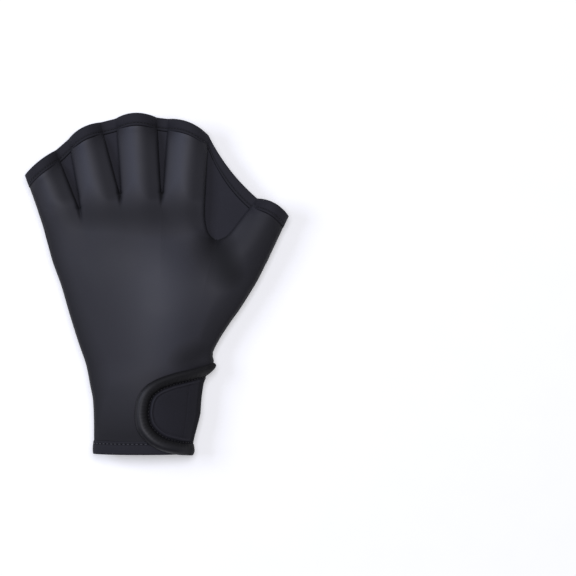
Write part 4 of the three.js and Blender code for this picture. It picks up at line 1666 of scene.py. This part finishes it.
    def build(self, shop: Workshop, finish: bpy.types.Material) -> bpy.types.Object:
        """Make the band with rounded edges, a sunk stitch line and small gathers.

        Args:
            shop: makes and places the object.
            finish: the cloth.

        Returns:
            The finished piece.
        """
        line = self.stations()
        thick = self.thick * line["slope"]
        wave = self.gather_rise * np.cos(2 * np.pi * line["run"] / self.stitch_pitch)
        profile = self.profile()
        rings = []
        for row in profile:
            under = mix(line["base"], line["flange"], min(1.0, max(0.0, row.place / self.width)))
            rings.append(self.place(line, row.place, under + thick * row.rise + wave * row.gather))
        out, lip = self.gap + self.thick, line["lip"]
        rings.append(self.place(line, -out, mix(line["base"], lip, 0.6)))
        rings.append(self.place(line, -0.7 * out, lip))
        rings.append(self.place(line, -self.gap, lip))
        rings.append(self.place(line, -self.gap, line["base"]))
        points, faces = swept(flat_ground(np.stack(rings, axis=1)), False)
        faces = turn_out(points, faces)
        coords = band_coords(line["run"], len(rings), self.cloth_pitch)
        name = "back_edge_hem" if self.half is Half.BACK else "palm_edge_hem"
        node = "back_hem" if self.half is Half.BACK else "palm_hem"
        piece = shop.solid(name, points, faces, finish, coords)
        painted_shades = np.zeros(len(rings))
        painted_shades[: len(profile)] = [row.painted_shade for row in profile]
        shop.painted_shade(piece, np.tile(painted_shades, len(line["run"])))
        return shop.finish_piece(piece, "hem_band", node)

    def stitch_line(self) -> np.ndarray:
        """The line that the band's stitches follow."""
        line = self.stations()
        distance = self.width - self.stitch_inset
        under = mix(line["base"], line["flange"], distance / self.width)
        points = self.place(line, distance, under + self.thick * line["slope"] * 0.5)
        return points[4:-4]


# The wrist


@dataclass
class Wrist:
    """The cuff's outer surface, read by height up the wrist and distance round it."""

    form: GloveForm
    lengths: np.ndarray = field(default_factory=lambda: np.linspace(0, 64, 65))
    distances: np.ndarray = field(default_factory=lambda: np.linspace(-44, 92, 273))
    spread: float = 1.5
    table: np.ndarray = field(default_factory=lambda: np.zeros(0))

    def __post_init__(self) -> None:
        """Measure the wrist's outline at every height."""
        rows = []
        for length in self.lengths:
            points, seam = self.outline(length)
            run = run_along(points)
            even = rounded(read_along(points, run - run[seam], self.distances), self.spread)
            tangent = unit(np.gradient(even, axis=0))
            normal = np.stack([tangent[:, 1], -tangent[:, 0]], axis=1)
            rows.append(np.concatenate([even, normal], axis=1))
        self.table = np.array(rows)

    def outline(self, length: float) -> tuple[np.ndarray, int]:
        """The wrist's outline from the palm round the thumb side to the back, and its seam's place."""
        shares = column_shares(EDGE_COLUMNS)
        palm = self.form.section(length, shares, Half.PALM)
        back = self.form.section(length, shares, Half.BACK)
        return np.concatenate([palm, back[::-1]]), len(palm)

    @staticmethod
    def cell(values: np.ndarray, marks: np.ndarray) -> np.ndarray:
        """Places of values among evenly spaced marks, kept inside the last cell."""
        return np.clip((values - marks[0]) / (marks[1] - marks[0]), 0, len(marks) - 1.001)

    def over(self, distance: np.ndarray, length: np.ndarray, offset: np.ndarray | float) -> np.ndarray:
        """Points over the wrist.

        Args:
            distance: distances round from the thumb-side seam, positive onto the back.
            length: heights up the wrist.
            offset: heights off its surface.

        Returns:
            Points with the same shape and three coordinates.
        """
        distance, length = np.broadcast_arrays(np.asarray(distance, float), np.asarray(length, float))
        i, j = self.cell(length, self.lengths), self.cell(distance, self.distances)
        i0, j0 = i.astype(int), j.astype(int)
        fi, fj = (i - i0)[..., None], (j - j0)[..., None]
        low = mix(self.table[i0, j0], self.table[i0, j0 + 1], fj)
        high = mix(self.table[i0 + 1, j0], self.table[i0 + 1, j0 + 1], fj)
        read = mix(low, high, fi)
        normal = unit(read[..., 2:])
        offset = np.broadcast_to(offset, distance.shape)
        x = read[..., 0] + normal[..., 0] * offset
        z = read[..., 1] + normal[..., 1] * offset
        return np.stack([x, length, z], axis=-1)

    def distance_at(self, x: float, length: float) -> float:
        """The distance round at which the back of the wrist reaches a place across it."""
        i = int(np.clip(round(length), 0, len(self.lengths) - 1))
        onto_back = self.distances >= 4
        xs = self.table[i, onto_back, 0]
        return float(np.interp(-x, -xs, self.distances[onto_back]))


@dataclass
class CuffHem:
    """The turned band round the cuff's edge."""

    form: GloveForm
    width: float = 7.6
    thick: float = 0.7
    gap: float = 0.12
    stitch_inset: float = 1.3
    fold_depth: float = 1.25
    per_tube: int = 44
    stations: int = 420
    cloth_step: float = 0.4
    cloth_pitch: float = 0.7

    def loop(self, length: float) -> tuple[np.ndarray, np.ndarray]:
        """The cuff's closed outline at a height, with its outward normals."""
        shares = column_shares(self.per_tube)
        back = self.form.section(length, shares, Half.BACK)
        palm = self.form.section(length, shares, Half.PALM)
        closed = np.concatenate([back, palm[::-1], back[:1]])
        run = run_along(closed)
        even = read_along(closed, run, np.linspace(0, run[-1], self.stations, endpoint=False))
        tangent = unit(np.roll(even, -2, axis=0) - np.roll(even, 2, axis=0))
        return even, square(tangent)

    def place(self, length: float, y: float, offset: np.ndarray | float) -> np.ndarray:
        """Points at a height up the wrist and an offset off its surface."""
        points, normals = self.loop(max(0.0, length))
        moved = points + normals * np.reshape(offset, (-1, 1))
        return np.stack([moved[:, 0], np.full(len(moved), y), moved[:, 1]], axis=1)

    def profile(self) -> list[BandLine]:
        """The band's lines, from its inner edge over the fold and into the cuff."""
        out, g, t = self.gap + self.thick, self.gap, self.thick
        return [
            BandLine(self.width + 0.9, -0.15),
            BandLine(self.width + 0.2, g + 0.2 * t),
            BandLine(self.width - 0.5, g + 0.7 * t),
            # Painted shade: the sunk stitch line is drawn dark.
            BandLine(self.width - self.stitch_inset, g - 0.1 * t, painted_shade=1.0),
            BandLine(self.width - 2.1, g + 0.8 * t),
            BandLine(self.width - 3.2, g + t),
            BandLine(2.2, g + 1.05 * t),
            BandLine(0.6, g + t),
            BandLine(-0.5 * out, g + 0.8 * t),
            BandLine(-0.9 * out, g + 0.4 * t),
            BandLine(-out, -0.4),
            BandLine(-0.8 * out, -self.fold_depth),
            BandLine(-g, -self.fold_depth),
            BandLine(-g, g - 0.5),
        ]

    def build(self, shop: Workshop, finish: bpy.types.Material) -> bpy.types.Object:
        """Make the band with a rounded fold and a sunk stitch line.

        Args:
            shop: makes and places the object.
            finish: the cloth.

        Returns:
            The finished piece.
        """
        profile = self.profile()
        profiles = np.stack([self.place(row.place, row.place, row.rise) for row in profile], axis=1)
        points, faces = swept(profiles, True)
        faces = turn_out(points, faces)
        run = np.arange(len(profiles)) * self.cloth_step
        coords = band_coords(run, len(profile), self.cloth_pitch)
        piece = shop.solid("cuff_edge_hem", points, faces, finish, coords)
        shop.painted_shade(piece, np.tile([row.painted_shade for row in profile], len(profiles)))
        return shop.finish_piece(piece, "hem_band", "cuff_hem")

    def stitch_line(self) -> np.ndarray:
        """The line that the cuff's stitches follow."""
        along = self.width - self.stitch_inset
        return self.place(along, along, self.gap + self.thick * 0.4)


# The strap


@dataclass(frozen=True)
class StrapRow:
    """One line along the strap: where it ends on the back and how high it starts at the side."""

    tip: tuple[float, float]
    side: float


STRAP_ROWS = [
    StrapRow((0.12, 0.002), -0.002),
    StrapRow((0.055, 0.018), 0.027),
    StrapRow((0.008, 0.045), 0.059),
    StrapRow((-0.018, 0.078), 0.092),
    StrapRow((-0.025, 0.113), 0.125),
    StrapRow((-0.02, 0.148), 0.16),
    StrapRow((0.0, 0.184), 0.194),
    StrapRow((0.046, 0.212), 0.226),
    StrapRow((0.11, 0.23), 0.256),
]


@dataclass
class Strap:
    """The closing strap: a D-shaped tab with a rolled binding, over the thumb side."""

    form: GloveForm
    wrist: Wrist
    seat: float = 1.8
    thick: float = 1.8
    underlap: float = 24.0
    rows: int = 130
    columns: int = 180
    edge_step: float = 0.45
    edge_spread: float = 2.0
    roll_width: float = 6.2
    roll_height: float = 1.8
    roll_seat: float = 0.15
    lip: float = 1.3
    gather_rises: tuple[float, float] = (0.16, 0.08)
    gather_turns: tuple[float, float] = (2.3, 3.7)
    roll_shade_from: float = 2.6
    roll_shade_reach: float = 2.2
    roll_turned_from: float = 13.0
    roll_turned_fade: float = 8.0
    roll_upper_from: float = 40.0
    roll_upper_fade: float = 10.0
    roll_upper_shade: float = 0.75
    least_thick: float = 1.0
    side_reach: float = 10.0
    side_puff: float = 0.6
    side_press: float = 2.6
    press_from: float = 26.0
    press_fade: float = 16.0
    puff_from: float = 36.0
    puff_fade: float = 14.0
    facing_from: float = 3.0
    facing_reach: float = 7.0
    groove: EdgeLine = EdgeLine(7.1, 1.2, -1.4)
    groove_share: float = 0.55
    pucker: EdgeLine = EdgeLine(7.3, 1.1, 0.22)
    pucker_turn: float = 2.1
    ridge: EdgeLine = EdgeLine(8.9, 0.45, 0.7)
    trough: EdgeLine = EdgeLine(10.2, 0.6, -0.45)
    fold: EdgeLine = EdgeLine(11.5, 0.5, -0.35)
    fold_from: float = 8.8
    fold_ease: float = 0.6
    inner_rise: float = 0.25
    inner_from: float = 9.5
    inner_reach: float = 6.0
    tab_shade: float = 0.4
    sunk_place: float = 6.7
    sunk_wide: float = 1.5
    trough_shade: EdgeLine = EdgeLine(10.2, 0.6, 0.5)
    shine: EdgeLine = EdgeLine(8.8, 0.55, 1.0)
    side_shade: float = 0.7
    side_shade_from: float = 7.0
    side_shade_fade: float = 4.0
    cloth_pitch: float = 0.8
    stitch_inset: float = 7.0
    stitch_sink: float = 0.75
    pad_lengths: tuple[float, float] = (0.055, 0.175)
    pad_sides: tuple[float, float] = (0.15, 0.035)
    pad_height: float = 26.0
    pad_cells: int = 60
    pad_top: float = 1.2
    pad_base: float = 0.3
    hook_rise: float = 0.18
    hook_turn: float = 3.1
    hook_edge: float = 0.3

    def grid(self) -> tuple[np.ndarray, np.ndarray]:
        """Distances round and heights up the wrist over the strap's whole surface."""
        keys = Track([(*row.tip, row.side) for row in STRAP_ROWS])
        span = len(STRAP_ROWS) - 1
        places = span * (1 - np.cos(np.pi * np.arange(self.rows + 1) / self.rows)) / 2
        distances, lengths = [], []
        for tip_x, tip_y, side in keys.at(places):
            tip_x, tip_y = tip_x * self.form.width, tip_y * self.form.length
            reach = self.wrist.distance_at(tip_x, max(0.0, tip_y))
            run = np.linspace(-self.underlap, reach, self.columns + 1)
            share = np.maximum(0.0, run) / reach
            distances.append(run)
            lengths.append(mix(side * self.form.length, tip_y, share))
        return np.array(distances), np.array(lengths)

    def outline(self) -> np.ndarray:
        """The strap's edge, round its lower side, its end and its upper side."""
        distances, lengths = self.grid()
        path = np.stack([distances, lengths], axis=-1)
        joined = np.concatenate([path[0], path[1:-1, -1], path[-1][::-1]])
        run = run_along(joined)
        places = np.linspace(0, run[-1], int(run[-1] / self.edge_step))
        return rounded(read_along(joined, run, places), self.edge_spread)

    def edge_distance(self, distances: np.ndarray, lengths: np.ndarray) -> np.ndarray:
        """How far points lie inside the strap's edge."""
        path = self.outline()
        points = np.stack([distances.reshape(-1), lengths.reshape(-1)], axis=1)
        nearest = np.full(len(points), 1e9)
        for start in range(0, len(path), 60):
            block = path[start : start + 60]
            gaps = np.linalg.norm(points[:, None, :] - block[None, :, :], axis=-1).min(axis=1)
            nearest = np.minimum(nearest, gaps)
        return nearest.reshape(distances.shape)

    def side_lift(self, distances: np.ndarray, lengths: np.ndarray) -> np.ndarray:
        """How much the strap stands off where it turns round the side: pressed low, puffed high."""
        near = np.exp(-((distances / self.side_reach) ** 2))
        low = rising(lengths, self.press_from, -self.press_fade)
        high = rising(lengths, self.puff_from, self.puff_fade)
        return near * (self.side_puff * high - self.side_press * low)

    def stand_off(self, distances: np.ndarray, lengths: np.ndarray, offset: np.ndarray) -> np.ndarray:
        """Heights off the wrist, eased where the strap turns round the side."""
        full = self.seat + self.thick + self.roll_height
        return offset + self.side_lift(distances, lengths) * np.clip(offset / full, 0, 1)

    def facing(self, distances: np.ndarray) -> np.ndarray:
        """How far the strap has turned from the side onto the back, 0 to 1."""
        return rising(distances, self.facing_from, self.facing_reach)

    def tab_top(self, inside: np.ndarray, distances: np.ndarray, lengths: np.ndarray) -> np.ndarray:
        """Height of the tab's top: a sunk seam by the binding, a fine ridge and a soft middle."""
        facing = self.facing(distances)
        groove = self.groove.over(inside) * mix(self.groove_share, 1.0, facing)
        pucker = self.pucker.over(inside) * np.sin((distances + lengths) * self.pucker_turn)
        ridge = (self.ridge.over(inside) + self.trough.over(inside)) * facing
        inner = self.inner_rise * rising(inside, self.inner_from, self.inner_reach)
        fold = self.fold.over(distances) * rising(inside, self.fold_from, self.fold_ease)
        return groove + pucker + ridge + inner + fold

    def tab_depths(self, inside: np.ndarray, distances: np.ndarray) -> np.ndarray:
        """Painted shade on the tab, darker and more matt in its seam, its trough and where it turns round
        the side, with a painted highlight along its ridge.
        """
        sunk = np.exp(-(((inside - self.sunk_place) / self.sunk_wide) ** 4))
        sunk = sunk + self.trough_shade.over(inside)
        turned = np.clip((self.side_shade_from - distances) / self.side_shade_fade, 0, self.side_shade)
        # A painted highlight along the ridge, where the shade is eased off.
        plain = self.tab_shade * (1 - self.shine.over(inside) * self.facing(distances))
        return np.maximum(plain, np.maximum(sunk, turned))

    def sheet(
        self,
        shop: Workshop,
        name: str,
        finish: bpy.types.Material,
        distances: np.ndarray,
        lengths: np.ndarray,
        top: np.ndarray,
        base: np.ndarray | float,
    ) -> bpy.types.Object:
        """Make a thick sheet that lies round the wrist.

        Args:
            shop: makes and places the object.
            name: the piece's name.
            finish: the cloth.
            distances: distances round the wrist, as a grid.
            lengths: heights up the wrist, as a grid.
            top: heights of its upper side off the wrist.
            base: heights of its lower side off the wrist.

        Returns:
            The new object.
        """
        outer = self.wrist.over(distances, lengths, top).reshape(-1, 3)
        inner = self.wrist.over(distances, lengths, base).reshape(-1, 3)
        points, faces = shell(outer, inner, grid_quads(*distances.shape), False)
        coords = np.stack([distances.reshape(-1), lengths.reshape(-1)], axis=1)
        return shop.solid(name, points, turn_out(points, faces), finish, np.tile(coords, (2, 1)))

    def build_tab(self, shop: Workshop, finish: bpy.types.Material) -> bpy.types.Object:
        """Make the tab.

        Args:
            shop: makes and places the object.
            finish: the cloth.

        Returns:
            The finished piece.
        """
        distances, lengths = self.grid()
        inside = self.edge_distance(distances, lengths)
        top = self.tab_top(inside, distances, lengths)
        off = self.stand_off(distances, lengths, self.seat + self.thick + top)
        base = np.minimum(self.seat, off - self.least_thick)
        piece = self.sheet(shop, "strap_cloth", finish, distances, lengths, off, base)
        shop.painted_shade(piece, np.tile(self.tab_depths(inside, distances).reshape(-1), 2))
        return shop.finish_piece(piece, "strap", "strap_tab")

    def inward(self, path: np.ndarray) -> np.ndarray:
        """Directions from the edge into the strap."""
        return square(unit(np.gradient(path, axis=0)))

    def roll_profile(self) -> list[BandLine]:
        """The binding's lines, from its seam over the roll and under the strap."""
        top = self.seat + self.thick + self.roll_seat
        w, h, lip = self.roll_width, self.roll_height, self.lip
        return [
            BandLine(w, top - 0.6, 0.3),
            BandLine(w - 0.1, top, 1.0),
            BandLine(w - 0.9, top + 0.3 * h, 1.0),
            BandLine(w - 2.0, top + 0.6 * h, 0.5),
            BandLine(w - 3.1, top + 0.85 * h, 0.2),
            BandLine(2.0, top + h),
            BandLine(1.1, top + 0.97 * h),
            BandLine(0.2, top + 0.78 * h),
            BandLine(-0.5 * lip, top + 0.4 * h),
            BandLine(-lip, top - 0.3),
            BandLine(-lip - 0.1, self.seat + 0.6 * self.thick),
            BandLine(-0.7 * lip, self.seat + 0.1),
            BandLine(-0.2, self.seat),
            BandLine(-0.2, top - 0.6),
        ]

    def build_binding(self, shop: Workshop, finish: bpy.types.Material) -> bpy.types.Object:
        """Make the rolled binding that wraps the strap's edge.

        Args:
            shop: makes and places the object.
            finish: the cloth.

        Returns:
            The finished piece.
        """
        path = self.outline()
        inward = self.inward(path)
        run = np.arange(len(path)) * self.edge_step
        (rise, second_rise), (turn, second_turn) = self.gather_rises, self.gather_turns
        gather = rise * np.sin(run * turn) + second_rise * np.sin(run * second_turn + 1.0)
        profile = self.roll_profile()
        rings = []
        for row in profile:
            at = path + inward * row.place
            off = self.stand_off(at[:, 0], at[:, 1], row.rise + gather * row.gather)
            rings.append(self.wrist.over(at[:, 0], at[:, 1], off))
        points, faces = swept(np.stack(rings, axis=1), False)
        faces = turn_out(points, faces)
        coords = band_coords(run, len(profile), self.cloth_pitch)
        piece = shop.solid("strap_rolled_edge", points, faces, finish, coords)
        # Painted shade on the binding: its inner flank, where it turns round the side and its upper arm are
        # drawn darker and more matt.
        places = np.array([row.place for row in profile])
        inner = rising(places, self.roll_shade_from, self.roll_shade_reach)
        turned = rising(path[:, 0], self.roll_turned_from, -self.roll_turned_fade)
        upper = (path[:, 1] - self.roll_upper_from) / self.roll_upper_fade
        upper = np.clip(upper, 0, self.roll_upper_shade)
        along = np.maximum(turned, upper)
        shop.painted_shade(piece, np.maximum(inner[None, :], along[:, None]).reshape(-1))
        return shop.finish_piece(piece, "strap", "strap_binding")

    def stitch_line(self) -> np.ndarray:
        """The line of stitches in the seam between the binding and the tab."""
        path = self.outline()
        at = path + self.inward(path) * self.stitch_inset
        off = self.stand_off(at[:, 0], at[:, 1], self.seat + self.thick - self.stitch_sink)
        return self.wrist.over(at[:, 0], at[:, 1], off)[30:-30]

    def build_pad(self, shop: Workshop, finish: bpy.types.Material) -> bpy.types.Object:
        """Make the hook pad under the tab, with rows of low hooks.

        Args:
            shop: makes and places the object.
            finish: the hook tape.

        Returns:
            The finished piece.
        """
        low, high = (share * self.form.length for share in self.pad_lengths)
        sides = [share * self.form.width for share in self.pad_sides]
        near, far = (self.wrist.distance_at(side, self.pad_height) for side in sides)
        distances, lengths = np.meshgrid(
            np.linspace(near, far, self.pad_cells), np.linspace(low, high, self.pad_cells)
        )
        ripple = np.sin(distances * self.hook_turn) * np.sin(lengths * self.hook_turn)
        top = self.pad_top + self.hook_rise * (ripple > self.hook_edge)
        piece = self.sheet(shop, "hook_tape_pad", finish, distances, lengths, top, self.pad_base)
        return shop.finish_piece(piece, "hook_tape", "hook_pad")


# Light and camera


@dataclass(frozen=True)
class Lamp:
    """A square soft light that looks at the glove, with its place and size in metres."""

    name: str
    place: tuple[float, float, float]
    size: float
    power: float
    colour: tuple[float, float, float]

    def hang(self) -> None:
        """Add the light to the scene."""
        data = bpy.data.lights.new(self.name, "AREA")
        data.shape = "SQUARE"
        data.size = self.size
        data.energy = self.power
        data.color = self.colour
        lamp = bpy.data.objects.new(self.name, data)
        lamp.location = self.place
        lamp.rotation_euler = (-Vector(self.place)).to_track_quat("-Z", "Y").to_euler()
        bpy.context.scene.collection.objects.link(lamp)


LAMPS = [
    Lamp("soft_box_above", (0.14, 0.28, 2.3), 1.0, 33.0, (0.91, 0.91, 1.0)),
    Lamp("window_left", (-1.6, 0.35, 1.7), 1.0, 21.0, (0.78, 0.82, 1.0)),
]
PICTURE_MIDDLE = (94.05, 108.6)


@dataclass
class Studio:
    """Pale ground, soft light from the upper left and a camera straight above."""

    focus: tuple[float, float]
    frame_width: float = 380.0
    lens: float = 180.0
    level: float = 13.0
    ground_reach: float = 3.0
    ground_level: float = -0.0005
    surround: float = 0.06

    def ground(self, collection: bpy.types.Collection) -> None:
        """Lay the pale ground under the glove."""
        mesh = bpy.data.meshes.new("ground")
        ways = ((-1, -1), (1, -1), (1, 1), (-1, 1))
        corners = [(x * self.ground_reach, y * self.ground_reach, self.ground_level) for x, y in ways]
        mesh.from_pydata(corners, [], [[0, 1, 2, 3]])
        mesh.materials.append(GroundFinish().make())
        floor = bpy.data.objects.new("ground", mesh)
        collection.objects.link(floor)

    def light(self) -> None:
        """Set a soft box above, a window on the left and a faint even surround."""
        for lamp in LAMPS:
            lamp.hang()
        world = bpy.data.worlds.new("even_surround")
        world.use_nodes = True
        even = world.node_tree.nodes["Background"]
        even.inputs[0].default_value = (1.0, 1.0, 1.0, 1.0)
        even.inputs[1].default_value = self.surround
        bpy.context.scene.world = world
        view = bpy.context.scene.view_settings
        view.view_transform = "Standard"
        view.look = "None"

    def camera(self) -> None:
        """Hang the camera straight above, with the fingers up in the picture."""
        data = bpy.data.cameras.new("overhead")
        data.lens = self.lens
        data.sensor_width = 36.0
        data.clip_end = 20.0
        height = self.frame_width * MM * self.lens / data.sensor_width
        camera = bpy.data.objects.new("overhead", data)
        camera.location = (self.focus[0] * MM, self.focus[1] * MM, height + self.level * MM)
        bpy.context.scene.collection.objects.link(camera)
        bpy.context.scene.camera = camera


# The whole glove


@dataclass
class SwimGlove:
    """The glove as an assembly of its sewn pieces."""

    form: GloveForm
    shop: Workshop
    finishes: Finishes
    calm_pucker: float = 0.7

    def build_shell(self) -> None:
        """Make the two halves of the shell and the four webs."""
        Panel(self.form, Half.BACK).build(self.shop, self.finishes.jersey)
        Panel(self.form, Half.PALM).build(self.shop, self.finishes.jersey)
        for tube, beside in enumerate(TUBES[1:]):
            per_row, across = (8, 60) if tube == THUMB_WEB else (6, 14)
            piece, node = f"{beside.name}_web_sheet", f"web_{beside.name}"
            web = Web(self.form, tube, piece, node, across=across, per_row=per_row)
            web.build(self.shop, self.finishes.web)

    def build_hems(self) -> None:
        """Make the finger-edge bands and the cuff's band with their stitches."""
        for half in Half:
            hem = FingerHem(self.form, half)
            hem.build(self.shop, self.finishes.hem)
            name = f"{half.name.lower()}_edge_stitches"
            StitchRow(name, hem.stitch_line(), pitch=hem.stitch_pitch, stitch=1.5).build(
                self.shop, self.finishes.dark_thread, "hem_band"
            )
        cuff = CuffHem(self.form)
        cuff.build(self.shop, self.finishes.hem)
        StitchRow("cuff_stitches", cuff.stitch_line(), pitch=3.0, stitch=2.0, cyclic=True).build(
            self.shop, self.finishes.thread, "hem_band"
        )

    def build_strap(self) -> None:
        """Make the strap, its rolled edge, its stitches and the hook pad."""
        calm = GloveForm(pucker_rise=self.calm_pucker)
        strap = Strap(self.form, Wrist(calm))
        strap.build_tab(self.shop, self.finishes.strap)
        strap.build_binding(self.shop, self.finishes.binding)
        strap.build_pad(self.shop, self.finishes.hook)
        StitchRow("strap_stitches", strap.stitch_line(), pitch=2.2, stitch=1.3).build(
            self.shop, self.finishes.dark_thread, "strap"
        )


def part_place(form: GloveForm) -> Place:
    """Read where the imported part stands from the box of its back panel."""
    low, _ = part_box("back_panel")
    left = TUBES[0].left_tip[0] * form.width
    seam = 0.15
    return Place(np.array([low[0] / MM - left, low[1] / MM, low[2] / MM - form.palm_depth - seam]))


def main() -> None:
    """Build the glove, the ground, the light and the camera."""
    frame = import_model()
    LOG.info("frame has %d nodes", len(frame["nodes"]))
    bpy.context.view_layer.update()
    form = GloveForm()
    place = part_place(form)
    collection = bpy.data.collections.new("swim_glove")
    bpy.context.scene.collection.children.link(collection)
    glove = SwimGlove(form, Workshop(place, collection), Finishes.make())
    glove.build_shell()
    glove.build_hems()
    glove.build_strap()
    studio = Studio((PICTURE_MIDDLE[0] + place.shift[0], PICTURE_MIDDLE[1] + place.shift[1]))
    studio.ground(collection)
    studio.light()
    studio.camera()


if __name__ == "__main__":
    main()
